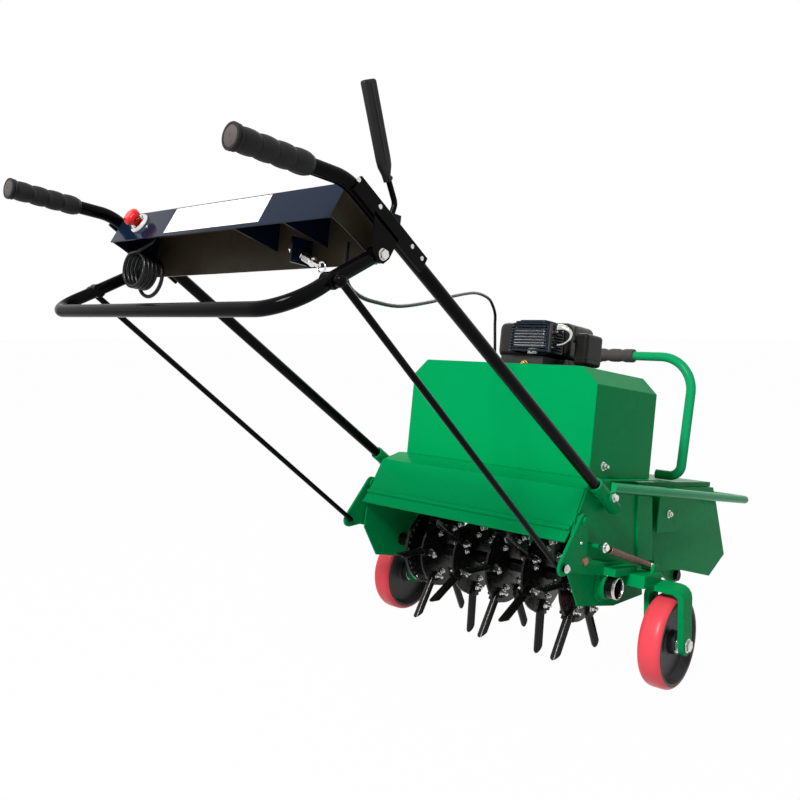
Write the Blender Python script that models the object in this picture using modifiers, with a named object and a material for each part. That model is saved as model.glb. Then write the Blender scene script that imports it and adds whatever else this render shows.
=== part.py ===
"""Self-propelled lawn aerator with a front weight box, a spoon reel and a
hand-lifted pair of rear wheels.

Drawn in millimetres in the chassis frame: X to the machine's right, Y forward,
Z up from the deck's point of view. Y = 0 and Z = WHEEL_R are the rear axle.
The chassis stands nose down on its three wheels, so the empty called stance
tilts the whole frame until the wheels share one floor.
"""
import math

import bmesh
import bpy
from mathutils import Matrix, Vector

MM = 0.001

# Driving dimensions, in millimetres
GAP = 0.3
PIN_GAP = 0.3
LINK_PLAY = 1.3
SHEET = 3.0
PLATE = 4.0

# Wheels
WHEEL_R = 100.0
WHEEL_W = 50.0
TRACK = 744.8
CHASSIS_HALF = TRACK / 2 - 98.4
REAR_AXLE = (0.0, 100.0)
FRONT_AXLE = (443.0, 165.7)
FRONT_AXLE_R = 13.5
RIM_R = WHEEL_R - 9.0
AXLE_BOLT_R = 8.0
ROUND = 20

# Chassis sheets
SIDE_IN = CHASSIS_HALF
DECK_Z = 427.0
DECK_FRONT = 104.0
HOOD_X = SIDE_IN - 24.3
HOOD_REAR = -182.5
HOOD_FRONT = 106.2
HOOD_TOP = 662.4
HOOD_SHOULDER = 626.7
HOOD_RIDGE = HOOD_X - 37.4

# Reel
REEL_AXIS = (-138.0, 211.0)
REEL_SHAFT_R = 14.0
REEL_END = SIDE_IN + 44.0
TINE_TIP_R = 179.0
TINE_TUBE_R = 9.0
TINE_WALL = 2.6
TINE_DISC_R = 88.0
TINE_PITCH = (SIDE_IN + 2.0) / 3
TINE_STATIONS = tuple(TINE_PITCH * k for k in (2.5, 1.5, 0.5, -0.5, -1.5))
TINE_PHASES = (-57.0, -87.0, -57.0, -87.0, -57.0)

# Drive: 32 and 10 teeth, then belt wheels of 41 and 25 mm
JACK_AXIS = (-10.0, 365.0)
CRANK_AXIS = (-30.0, 530.0)
JACK_R = 10.0
CHAIN_PITCH = 15.9
BIG_TEETH = 32
SMALL_TEETH = 10
CHAIN_X = -SIDE_IN + 90.0
CHAIN_W = 8.0
BELT_X = CHAIN_X - 19.0
BELT_W = 9.0
JACK_GROOVE_R = 41.0
CRANK_GROOVE_R = 25.0
BELT_T = 7.0

# Lift linkage, points as (Y, Z)
LIFT_PIVOT = (-259.0, 351.0)
LIFT_PIN = (-323.5, 263.0)
BAIL_PIVOT = (-926.0, 740.0)
BAIL_PIN = (-1006.0, 690.0)
ROD_R = 5.5
BAIL_R = 10.5
BAIL_X = SIDE_IN + 22.0
BAIL_BACK = (-1073.0, 643.0)
LEVER_IN = SIDE_IN + 11.0
LEVER_T = 6.0
FORK_IN = TRACK / 2 - WHEEL_W / 2 - 12.4
FORK_OUT = TRACK / 2 + WHEEL_W / 2 + 12.6
FORK_T = 12.0
FORK_W = 45.0
FORK_RISE = 124.0
FORK_LEAN = 11.3
SPRING_REAR = (LEVER_IN + 25.0, -210.0, 300.0)
SPRING_FRONT = (FORK_IN - 5.0, -6.0, 249.0)
SPRING_WIRE_R = 2.4
SPRING_MEAN_R = 5.1
SPRING_CURLS = 15

# Handle
HANDLE_R = 11.0
SOCKET_R = 15.0
HANDLE_X = SIDE_IN + 22.0
HANDLE_SLOPE = -0.535
HANDLE_REF = (-828.6, 738.2)
GRIP_Z = 826.0
GRIP_BEND = HANDLE_REF[0] + (GRIP_Z - HANDLE_REF[1]) / HANDLE_SLOPE
GRIP_INNER = GRIP_BEND - 64.3
GRIP_OUTER = GRIP_INNER - 121.0
PANEL_X = HANDLE_X - 16.8
PANEL_T = 2.5
LEVER_HINGE = (-870.0, 800.0)
LONG_LEVER_X = PANEL_X - 16.7
KNOB_X = -PANEL_X + 68.2
KNOB_UP = 33.0
PIN_AT = (142.0, -925.0, 748.0)
PIN_SLOPE = -23.0
COIL_AT = (-PANEL_X + 34.2, -972.0, 733.0)
COIL_R = 30.0

# Front hoop and bumper
HOOP_Y = 340.0
HOOP_R = 12.0
HOOP_X = SIDE_IN - 37.0
HOOP_Z = 739.0
BUMPER_R = 11.0
BUMPER_X = SIDE_IN + 6.0
BUMPER_FRONT = 718.0

NOSE_DOWN = math.atan2(FRONT_AXLE[1] - REAR_AXLE[1], FRONT_AXLE[0] - REAR_AXLE[0])

for old in list(bpy.data.objects):
    bpy.data.objects.remove(old, do_unlink=True)

PARTS = bpy.data.collections.new("lawn_aerator")
GUIDES = bpy.data.collections.new("cutters")
bpy.context.scene.collection.children.link(PARTS)
bpy.context.scene.collection.children.link(GUIDES)

STANCE = bpy.data.objects.new("stance", None)
PARTS.objects.link(STANCE)
STANCE.rotation_euler = (-NOSE_DOWN, 0.0, 0.0)


# Materials
def material(name, colour, roughness, metallic=0.0):
    made = bpy.data.materials.new(name)
    made.use_nodes = True
    shader = made.node_tree.nodes["Principled BSDF"]
    shader.inputs["Base Color"].default_value = (*colour, 1.0)
    shader.inputs["Roughness"].default_value = roughness
    shader.inputs["Metallic"].default_value = metallic
    made.diffuse_color = (*colour, 1.0)
    return made


GREEN = material("green_paint", (0.0, 0.33, 0.105), 0.35)
BLACK = material("black_paint", (0.012, 0.012, 0.014), 0.3)
RUBBER = material("black_rubber", (0.02, 0.02, 0.022), 0.75)
TREAD = material("red_tread", (0.85, 0.035, 0.06), 0.45)
CORE = material("wheel_core", (0.025, 0.027, 0.03), 0.5)
STEEL = material("zinc_steel", (0.6, 0.6, 0.58), 0.35, 1.0)
DARK_STEEL = material("dark_steel", (0.03, 0.028, 0.026), 0.5, 0.8)
IRON = material("engine_iron", (0.05, 0.05, 0.055), 0.55, 0.3)
PLASTIC = material("black_plastic", (0.018, 0.018, 0.02), 0.45)
RED = material("red_knob", (0.75, 0.01, 0.012), 0.25)
WHITE = material("white_label", (0.85, 0.86, 0.86), 0.5)
SPRING_STEEL = material("spring_steel", (0.16, 0.1, 0.085), 0.45, 0.8)
WEIGHT = material("cast_weight", (0.06, 0.06, 0.06), 0.7, 0.4)


# Building blocks
def place(obj, origin, collection=PARTS):
    collection.objects.link(obj)
    obj.parent = STANCE
    obj.location = Vector(origin) * MM
    return obj


def from_bmesh(name, bm, mat, origin=(0, 0, 0)):
    bmesh.ops.translate(bm, verts=bm.verts, vec=-Vector(origin))
    bmesh.ops.scale(bm, verts=bm.verts, vec=(MM, MM, MM))
    mesh = bpy.data.meshes.new(name)
    bm.to_mesh(mesh)
    bm.free()
    mesh.materials.append(mat)
    mesh.shade_smooth()
    mesh.set_sharp_from_angle(angle=math.radians(35))
    return place(bpy.data.objects.new(name, mesh), origin)


def box(name, mat, low, high, origin=(0, 0, 0), tilt=0.0):
    """Box between two corners; tilt turns it about its centre, round X."""
    low, high = Vector(map(min, low, high)), Vector(map(max, low, high))
    spread = Matrix.Diagonal((*(high - low), 1.0))
    turn = Matrix.Rotation(math.radians(tilt), 4, "X")
    bm = bmesh.new()
    bmesh.ops.create_cube(bm, size=1.0, matrix=Matrix.Translation((low + high) / 2) @ turn @ spread)
    return from_bmesh(name, bm, mat, origin)


def rod(name, mat, start, end, radius, origin=(0, 0, 0), end_radius=None, sides=14):
    start = Vector(start)
    end = Vector(end)
    along = end - start
    turn = Vector((0, 0, 1)).rotation_difference(along).to_matrix().to_4x4()
    bm = bmesh.new()
    bmesh.ops.create_cone(
        bm, cap_ends=True, segments=sides, radius1=radius,
        radius2=radius if end_radius is None else end_radius,
        depth=along.length, matrix=Matrix.Translation((start + end) / 2) @ turn)
    return from_bmesh(name, bm, mat, origin)


def cross_rod(name, mat, at, low_x, high_x, radius, origin=(0, 0, 0), sides=14):
    """Cylinder along X at a (Y, Z) point."""
    return rod(name, mat, (low_x, *at), (high_x, *at), radius, origin, sides=sides)


def as_mesh(curve_obj, mat):
    bpy.context.view_layer.update()
    seen = curve_obj.evaluated_get(bpy.context.evaluated_depsgraph_get())
    mesh = bpy.data.meshes.new_from_object(seen)
    bm = bmesh.new()
    bm.from_mesh(mesh)
    bmesh.ops.remove_doubles(bm, verts=bm.verts, dist=0.00001)
    bmesh.ops.recalc_face_normals(bm, faces=bm.faces)
    bm.to_mesh(mesh)
    bm.free()
    mesh.materials.clear()
    mesh.materials.append(mat)
    mesh.shade_smooth()
    mesh.set_sharp_from_angle(angle=math.radians(35))
    name = curve_obj.name
    origin = curve_obj.location.copy()
    turn = curve_obj.rotation_euler.copy()
    bpy.data.objects.remove(curve_obj, do_unlink=True)
    made = place(bpy.data.objects.new(name, mesh), origin / MM)
    made.rotation_euler = turn
    return made


def plate(name, mat, outline, low_x, high_x, holes=()):
    """Flat piece drawn in (Y, Z) and extruded along X; holes are outlines too."""
    curve = bpy.data.curves.new(name, "CURVE")
    curve.dimensions = "2D"
    curve.fill_mode = "BOTH"
    curve.extrude = abs(high_x - low_x) / 2 * MM
    for loop in (outline, *holes):
        spline = curve.splines.new("POLY")
        spline.points.add(len(loop) - 1)
        for point, (y, z) in zip(spline.points, loop):
            point.co = (y * MM, z * MM, 0.0, 1.0)
        spline.use_cyclic_u = True
    obj = place(bpy.data.objects.new(name, curve), ((low_x + high_x) / 2, 0, 0))
    obj.rotation_euler = (math.pi / 2, 0.0, math.pi / 2)
    return as_mesh(obj, mat)


def tube(name, mat, path, radius, origin=(0, 0, 0), resolution=4):
    curve = bpy.data.curves.new(name, "CURVE")
    curve.dimensions = "3D"
    curve.bevel_depth = radius * MM
    curve.bevel_resolution = resolution
    curve.use_fill_caps = True
    spline = curve.splines.new("POLY")
    spline.points.add(len(path) - 1)
    for point, spot in zip(spline.points, path):
        point.co = (*((Vector(spot) - Vector(origin)) * MM), 1.0)
    curve.materials.append(mat)
    return place(bpy.data.objects.new(name, curve), origin)


def turned(name, mat, profile, at, steps=ROUND, ring=True, axis="X", spin=0.0):
    """Profile of (radius, height), outer side first and from the top down."""
    mesh = bpy.data.meshes.new(name)
    verts = [(r * MM, 0.0, h * MM) for r, h in profile]
    edges = [(k, k + 1) for k in range(len(verts) - 1)]
    if ring:
        edges.append((len(verts) - 1, 0))
    mesh.from_pydata(verts, edges, [])
    mesh.materials.append(mat)
    obj = place(bpy.data.objects.new(name, mesh), at)
    screw = obj.modifiers.new("turn", "SCREW")
    screw.axis = "Z"
    screw.angle = math.tau
    screw.steps = steps
    screw.render_steps = steps
    screw.use_merge_vertices = True
    screw.merge_threshold = 0.00001
    screw.use_smooth_shade = True
    lay = {"X": Matrix.Rotation(math.pi / 2, 3, "Y"),
           "Y": Matrix.Rotation(-math.pi / 2, 3, "X"),
           "Z": Matrix.Identity(3)}[axis]
    obj.rotation_euler = (Matrix.Rotation(spin, 3, "X") @ lay).to_euler()
    return obj


def combine(obj, others, operation):
    for other in others:
        for home in list(other.users_collection):
            home.objects.unlink(other)
        GUIDES.objects.link(other)
        other.hide_render = True
        other.display_type = "WIRE"
        step = obj.modifiers.new(operation.lower(), "BOOLEAN")
        step.operation = operation
        step.solver = "EXACT"
        step.object = other
    return obj


def join(obj, *others):
    return combine(obj, others, "UNION")


def cut(obj, *others):
    return combine(obj, others, "DIFFERENCE")


def arc(centre, radius, start, end, count):
    steps = [math.radians(start + (end - start) * k / count) for k in range(count + 1)]
    return [(centre[0] + radius * math.cos(a), centre[1] + radius * math.sin(a)) for a in steps]


def rounded(points, bends, fine=15.0):
    """Corner points to a path whose corners are arcs of the given radii."""
    path = [Vector(points[0])]
    for k in range(1, len(points) - 1):
        corner = Vector(points[k])
        back = (Vector(points[k - 1]) - corner).normalized()
        ahead = (Vector(points[k + 1]) - corner).normalized()
        half = back.angle(ahead) / 2
        radius = bends[k - 1]
        reach = radius / math.tan(half)
        centre = corner + (back + ahead).normalized() * (radius / math.sin(half))
        first = corner + back * reach - centre
        last = corner + ahead * reach - centre
        turn = first.angle(last)
        axis = first.cross(last).normalized()
        count = max(2, round(math.degrees(turn) / fine))
        for step in range(count + 1):
            path.append(centre + Matrix.Rotation(turn * step / count, 3, axis) @ first)
    path.append(Vector(points[-1]))
    return path


def smooth(points, spacing):
    """Even points along a smooth curve through the given points."""
    spots = [Vector(p) for p in points]
    spots = [2 * spots[0] - spots[1]] + spots + [2 * spots[-1] - spots[-2]]
    dense = []
    for k in range(1, len(spots) - 2):
        p0, p1, p2, p3 = spots[k - 1:k + 3]
        for step in range(20):
            t = step / 20
            dense.append(0.5 * (2 * p1 + (p2 - p0) * t + (2 * p0 - 5 * p1 + 4 * p2 - p3) * t ** 2
                                + (3 * p1 - p0 - 3 * p2 + p3) * t ** 3))
    dense.append(spots[-2])
    length = sum((b - a).length for a, b in zip(dense, dense[1:]))
    count = max(2, round(length / spacing))
    even = [dense[0]]
    walked = 0.0
    for a, b in zip(dense, dense[1:]):
        stretch = (b - a).length
        while len(even) < count and walked + stretch >= length * len(even) / count:
            part = (length * len(even) / count - walked) / stretch
            even.append(a.lerp(b, part))
        walked += stretch
    even.append(dense[-1])
    return even


def least_gap(path, radius, skip):
    """Smallest air gap between turns of one tube, measured on its points."""
    least = 1e9
    for i in range(len(path)):
        for j in range(i + skip, len(path)):
            least = min(least, (Vector(path[i]) - Vector(path[j])).length)
    return least - 2 * radius


def handle_z(y):
    return HANDLE_REF[1] + HANDLE_SLOPE * (y - HANDLE_REF[0])


def grip_x(y):
    """The grips toe in a little, from the handle's last bend to its ends."""
    return HANDLE_X + 5.0 * (y - GRIP_BEND) / (GRIP_BEND - GRIP_OUTER)


def bumper_z(y):
    return 415.0 - 0.0479 * (y + 135.0)


# Side plates, each welded up with its socket, studs and front post
def side_plate(side, s):
    name = "side_plate_" + side
    outer = SIDE_IN + PLATE
    outline = [(-182.0, 428.5), (-236.5, 410.0), (-278.0, 331.0), (-281.0, 246.0), (-230.0, 177.0),
               (-75.0, 161.0),
               (64.0, 171.0), (42.0, 250.0), (28.0, 366.0), (24.0, bumper_z(24) - BUMPER_R - 1),
               (-140.0, bumper_z(-140) - BUMPER_R - 1), (-140.0, 430.0)]
    body = plate(name, GREEN, outline, s * SIDE_IN, s * outer)
    post = plate(name + "_post", GREEN,
                 [(-16.0, bumper_z(-16) - 12.2), (58.0, bumper_z(58) - 12.2), (91.0, 248.0), (15.0, 253.0)],
                 s * (outer - 0.6), s * (outer + 5.0))
    boss = cross_rod(name + "_boss", GREEN, LIFT_PIVOT, s * (SIDE_IN + 0.2), s * (outer - 0.2), 15.0,
                     sides=12)
    spacer = cross_rod(name + "_spacer", GREEN, LIFT_PIVOT, s * (SIDE_IN + 1), s * (LEVER_IN - 0.4), 10.0,
                       sides=10)
    stud = cross_rod(name + "_stud", GREEN, LIFT_PIVOT, s * (SIDE_IN + 1.5),
                     s * (LEVER_IN + LEVER_T + 5.0), 6.0)
    head = cross_rod(name + "_head", GREEN, LIFT_PIVOT, s * (LEVER_IN + LEVER_T + 0.5),
                     s * (LEVER_IN + LEVER_T + 5.5), 10.0, sides=6)
    eye = cross_rod(name + "_eye", GREEN, SPRING_REAR[1:], s * (SIDE_IN + 1), s * (SPRING_REAR[0] + 8.0), 4.5,
                    sides=8)
    cap = cross_rod(name + "_eye_cap", GREEN, SPRING_REAR[1:], s * (SPRING_REAR[0] + 6.0),
                    s * (SPRING_REAR[0] + 10.0), 7.0, sides=8)
    low = (s * HANDLE_X, -150.0, handle_z(-150.0))
    high = (s * HANDLE_X, -242.0, handle_z(-242.0))
    socket = rod(name + "_socket", GREEN, low, high, SOCKET_R)
    web = box(name + "_web", GREEN, (s * (outer - 1), -194.0, handle_z(-194.0) - 7.0),
              (s * (HANDLE_X - 7), -152.0, handle_z(-152.0) + 7.0))
    bolt = cross_rod(name + "_bolt", GREEN, (-196.0, handle_z(-196.0)), s * (HANDLE_X + 12.5),
                     s * (HANDLE_X + 22.0), 8.0, sides=6)
    join(body, boss, spacer, stud, head, eye, cap, post, web, socket, bolt)
    bore = rod(name + "_bore", GREEN, (s * HANDLE_X, -100.0, handle_z(-100.0)),
               (s * HANDLE_X, -300.0, handle_z(-300.0)), (HANDLE_R + GAP) / math.cos(math.pi / 14))
    shaft_hole = cross_rod(name + "_hole", GREEN, REEL_AXIS, s * (SIDE_IN - 14.0), s * (SIDE_IN + 10.0),
                           REEL_SHAFT_R + 3.0)
    cut(body, bore, shaft_hole)
    if s < 0:
        cut(body, cross_rod(name + "_jack_hole", GREEN, JACK_AXIS, -SIDE_IN + 14.0, -SIDE_IN - 16.0,
                            JACK_R + PIN_GAP))
    return body


# Deck, apron and hood
def deck_plate():
    body = box("deck_plate", GREEN, (-SIDE_IN + GAP, -181.7, DECK_Z),
               (SIDE_IN - GAP, DECK_FRONT, DECK_Z + SHEET))
    hanger = plate("deck_hanger", GREEN,
                   [(-50.0, DECK_Z + 1.5), (30.0, DECK_Z + 1.5), (14.0, 345.0), (-34.0, 345.0)],
                   CHAIN_X + 20.0, CHAIN_X + 24.0)
    join(body, hanger)
    slot = box("deck_slot", GREEN, (BELT_X - 13.0, -70.0, DECK_Z - 5), (BELT_X + 13.0, 50.0, DECK_Z + 8))
    hole = cross_rod("deck_bore", GREEN, JACK_AXIS, CHAIN_X + 14.0, CHAIN_X + 34.0, JACK_R + PIN_GAP)
    return cut(body, slot, hole)


def rear_apron():
    outline = [(-182.3, 430.0), (-239.0, 411.5), (-282.0, 330.5), (-300.0, 309.0), (-297.8, 307.0),
               (-279.4, 328.9), (-236.4, 408.9), (-182.3, 427.0)]
    body = plate("rear_apron", GREEN, outline, -SIDE_IN + GAP, SIDE_IN - GAP)
    hem = cross_rod("apron_hem", GREEN, (-281.0, 334.0), -SIDE_IN + GAP + 0.2, SIDE_IN - GAP - 0.2, 5.5)
    return join(body, hem)


def hood():
    def section(name, inset, low_z, rear, front):
        curve = bpy.data.curves.new(name, "CURVE")
        curve.dimensions = "2D"
        curve.fill_mode = "BOTH"
        curve.extrude = (front - rear) / 2 * MM
        slack = inset * 0.42
        half = [(HOOD_X - inset, low_z), (HOOD_X - inset, HOOD_SHOULDER - slack),
                (HOOD_RIDGE - slack, HOOD_TOP - inset)]
        loop = half + [(-x, z) for x, z in reversed(half)]
        spline = curve.splines.new("POLY")
        spline.points.add(len(loop) - 1)
        for point, (x, z) in zip(spline.points, loop):
            point.co = (x * MM, z * MM, 0.0, 1.0)
        spline.use_cyclic_u = True
        obj = place(bpy.data.objects.new(name, curve), (0, (front + rear) / 2, 0))
        obj.rotation_euler = (math.pi / 2, 0.0, 0.0)
        return as_mesh(obj, GREEN)

    body = section("hood", 0.0, DECK_Z + SHEET + GAP, HOOD_REAR, HOOD_FRONT)
    inside = section("hood_inside", 2.0, DECK_Z - 10, HOOD_REAR + 2.0, HOOD_FRONT - 2.0)
    mouth = box("hood_mouth", GREEN, (-150.0, -152.0, 640.0), (182.0, 92.0, 680.0))
    return cut(body, inside, mouth)


# Weight box at the front, its lid and its weight
def box_floor(y):
    return 208.0 - 0.163 * (y - 285.0)


def front_box():
    def hull(name, inset):
        i = inset
        outline = [(118.0 + i, 406.0 - i), (545.0 - i, 406.0 - i), (558.0 - i, 365.0),
                   (588.0 - i, 226.0 + i * 0.4),
                   (469.0 - i * 0.2, 178.0 + i), (285.0, 208.0 + i), (142.0 + i, 217.0 + i)]
        body = plate(name, GREEN, outline, -(SIDE_IN + 6.0 - i), SIDE_IN + 6.0 - i)
        flare = math.degrees(math.atan2(30.0, 180.0))
        sides = []
        for s in (1, -1):
            bm = bmesh.new()
            lean = Matrix.Rotation(math.radians(-s * flare), 4, "Y")
            hinge = Matrix.Translation((s * (SIDE_IN - 29.0 - i), 340.0, 358.0))
            bmesh.ops.create_cube(bm, size=1.0, matrix=hinge @ lean @ Matrix.Translation((s * 50.0, 0, 0))
                                  @ Matrix.Diagonal((100.0, 700.0, 700.0, 1.0)))
            sides.append(from_bmesh(name + "_side", bm, GREEN))
            sides.append(box(name + "_rim", GREEN, (s * (SIDE_IN - 29.0 - i), 0, 357.9),
                             (s * (SIDE_IN + 56.0), 700, 500)))
        return cut(body, *sides)

    body = hull("front_box", 0.0)
    inside = hull("front_box_inside", SHEET)
    lid_hole = box("front_box_hole", GREEN, (-SIDE_IN + 60.0, 170.0, 380.0), (SIDE_IN - 60.0, 530.0, 420.0))
    cut(body, inside, lid_hole)
    for s in (1, -1):
        bracket = plate("front_box_bracket", GREEN,
                        [(297.0, box_floor(297.0) + 1.4), (466.0, box_floor(466.0) + 1.4), (480.0, 184.2),
                         (468.0, 148.0),
                         (428.0, 146.0), (390.0, 158.0)], s * (SIDE_IN - 84.0), s * (SIDE_IN - 79.0))
        join(body, bracket)
    wheel_slot = cross_rod("front_box_slot", GREEN, FRONT_AXLE, -32.0, 32.0, WHEEL_R + 8.0, sides=32)
    axle_hole = cross_rod("front_box_axle", GREEN, FRONT_AXLE, -230.0, 230.0, FRONT_AXLE_R + GAP)
    return cut(body, wheel_slot, axle_hole)


def box_lid():
    half = SIDE_IN - 49.0
    body = box("box_lid", GREEN, (-half, 110.0, 406.0 + GAP), (half, 553.0, 419.0))
    under = box("box_lid_under", GREEN, (2.5 - half, 112.5, 400.0), (half - 2.5, 550.5, 416.5))
    return cut(body, under)


def ballast():
    outline = [(305.0, box_floor(305.0) + SHEET + 0.6), (450.0, box_floor(450.0) + SHEET + 0.6),
               (450.0, 385.0), (305.0, 385.0)]
    body = plate("ballast_block", WEIGHT, outline, -SIDE_IN + 69.0, SIDE_IN - 69.0)
    tunnel = box("ballast_tunnel", WEIGHT, (-45.0, 280.0, 100.0), (45.0, 480.0, 290.0))
    return cut(body, tunnel)


def bumper():
    points = []
    for s in (1, -1):
        run = [(s * BUMPER_X, -135.0, bumper_z(-135.0)), (s * BUMPER_X, BUMPER_FRONT, bumper_z(BUMPER_FRONT))]
        points.extend(run if s > 0 else reversed(run))
    body = as_mesh(tube("bumper", GREEN, rounded(points, (55.0, 55.0), 22.0), BUMPER_R, resolution=3), GREEN)
    for s in (1, -1):
        arm = plate("bumper_arm", GREEN,
                    [(116.0, 308.0), (226.0, 307.0), (352.0, 360.0), (352.0, bumper_z(352.0) - 3),
                     (116.0, bumper_z(116.0) - 3)], s * (BUMPER_X - 7.5), s * (BUMPER_X - 3.5))
        bolt = cross_rod("bumper_bolt", GREEN, (172.0, 350.0), s * (BUMPER_X - 10.0), s * (BUMPER_X + 3.0),
                         8.0, sides=6)
        join(body, arm, bolt)
    return body


def hoop():
    foot = 419.0 + HOOP_R + 1.7
    points = [(HOOP_X - 73.0, HOOP_Y, foot), (HOOP_X - 11.0, HOOP_Y, foot), (HOOP_X, HOOP_Y, HOOP_Z)]
    points += [(-x, y, z) for x, y, z in reversed(points)]
    tube("lift_handle", GREEN, rounded(points, (30.0, 88.0, 88.0, 30.0), 15.0), HOOP_R, resolution=3)
    outer = [(17.5, 65.5), (18.5, 60.0), (18.0, 40.0), (15.5, 31.0), (18.0, 22.0), (18.0, -2.0),
             (15.5, -11.0), (18.0, -20.0), (18.0, -45.0), (18.5, -60.0), (17.5, -65.5)]
    bore = [(HOOP_R + GAP + 0.7, -65.5), (HOOP_R + GAP + 0.7, 65.5)]
    turned("lift_handle_grip", RUBBER, outer + bore, (5.5, HOOP_Y, HOOP_Z), steps=12)


# Wheels
def wheel(tag, x, axle, bore):
    half = WHEEL_W / 2
    core = [(RIM_R, half), (RIM_R, -half), (RIM_R - 5.0, -half), (RIM_R - 12.0, -7.0), (25.0, -7.0),
            (25.0, -half),
            (bore, -half), (bore, half), (25.0, half), (25.0, 7.0), (RIM_R - 12.0, 7.0), (RIM_R - 5.0, half)]
    tread = [(RIM_R + 1.5, half), (WHEEL_R - 2.0, half - 6.0), (WHEEL_R, half - 12.0), (WHEEL_R, 12.0 - half),
             (WHEEL_R - 2.0, 6.0 - half), (RIM_R + 1.5, -half), (RIM_R + GAP, -half), (RIM_R + GAP, half)]
    turned("wheel_core_" + tag, CORE, core, (x, *axle), spin=NOSE_DOWN)
    turned("wheel_tyre_" + tag, TREAD, tread, (x, *axle), spin=NOSE_DOWN)


def axle_bolt(side, s):
    name = "axle_bolt_" + side
    origin = (s * TRACK / 2, *REAR_AXLE)
    body = cross_rod(name, STEEL, REAR_AXLE, s * (FORK_IN - 17.0), s * (FORK_OUT + 14.0), AXLE_BOLT_R, origin)
    nut = cross_rod(name + "_nut", STEEL, REAR_AXLE, s * (FORK_OUT + 6.4), s * (FORK_OUT + 12.0), 13.0,
                    sides=6)
    head = cross_rod(name + "_head", STEEL, REAR_AXLE, s * (FORK_IN - 15.0), s * (FORK_IN - 6.4), 13.0,
                     sides=6)
    collar_in = cross_rod(name + "_collar_in", STEEL, REAR_AXLE, s * (FORK_IN + 6.4),
                          s * (TRACK / 2 - WHEEL_W / 2 - 0.4), 13.0, sides=10)
    collar_out = cross_rod(name + "_collar_out", STEEL, REAR_AXLE, s * (TRACK / 2 + WHEEL_W / 2 + 0.4),
                           s * (FORK_OUT - 6.4), 13.0, sides=10)
    return join(body, nut, head, collar_in, collar_out)


# Reel
def half_shell(name, radius, wall, start, end, phase, x):
    """Open half tube along a radius of the reel, its mouth facing the way it turns."""
    ring = [(radius * math.cos(a), radius * math.sin(a))
            for a in [math.pi * (k / 3 - 0.5) for k in range(4)]]
    inner = [((radius - wall) * math.cos(a), (radius - wall) * math.sin(a))
             for a in [math.pi * (0.5 - k / 3) for k in range(4)]]
    curve = bpy.data.curves.new(name, "CURVE")
    curve.dimensions = "2D"
    curve.fill_mode = "BOTH"
    curve.extrude = (end - start) / 2 * MM
    spline = curve.splines.new("POLY")
    loop = ring + inner
    spline.points.add(len(loop) - 1)
    for point, (a, b) in zip(spline.points, loop):
        point.co = (a * MM, b * MM, 0.0, 1.0)
    spline.use_cyclic_u = True
    turn = math.radians(phase)
    out = Vector((0.0, math.cos(turn), math.sin(turn)))
    back = Vector((0.0, math.sin(turn), -math.cos(turn)))
    centre = Vector((x, *REEL_AXIS)) + out * (start + end) / 2
    obj = place(bpy.data.objects.new(name, curve), centre)
    basis = Matrix((back, out.cross(back), out)).transposed()
    obj.rotation_euler = basis.to_euler()
    return as_mesh(obj, DARK_STEEL)


def tine_wheel(number, x, phase):
    name = "tine_wheel_%d" % number
    profile = [(TINE_DISC_R, 3.0), (TINE_DISC_R, -3.0), (26.0, -14.0),
               (REEL_SHAFT_R + GAP, -14.0), (REEL_SHAFT_R + GAP, 14.0), (26.0, 14.0)]
    body = turned(name, DARK_STEEL, profile, (x, *REEL_AXIS), steps=16)
    for k in range(6):
        tine = half_shell(name + "_tine", TINE_TUBE_R, TINE_WALL, 62.0, TINE_TIP_R, phase + 60.0 * k, x)
        join(body, tine)
    return body


def toothed(name, mat, centre, teeth, low_x, high_x, bore, hub_r, hub_w):
    pitch_r = teeth * CHAIN_PITCH / math.tau
    loop = []
    for k in range(teeth):
        for part, radius in ((0.0, pitch_r + 3.8), (0.5, pitch_r - 4.0)):
            a = math.tau * (k + part) / teeth
            loop.append((centre[0] + radius * math.cos(a), centre[1] + radius * math.sin(a)))
    body = plate(name, mat, loop, low_x, high_x)
    middle = (low_x + high_x) / 2
    join(body, cross_rod(name + "_hub", mat, centre, middle - hub_w, middle + hub_w, hub_r))
    if bore:
        cut(body, cross_rod(name + "_bore", mat, centre, middle - 60, middle + 60, bore))
    return body


def wrap(centre_a, radius_a, centre_b, radius_b, count=14):
    """Closed loop round two circles that share a pair of outer tangents."""
    dy = centre_b[0] - centre_a[0]
    dz = centre_b[1] - centre_a[1]
    heading = math.degrees(math.atan2(dz, dy))
    lean = math.degrees(math.acos((radius_a - radius_b) / math.hypot(dy, dz)))
    return (arc(centre_a, radius_a, heading + lean, heading + 360 - lean, count)
            + arc(centre_b, radius_b, heading - lean, heading + lean, count))


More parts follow.
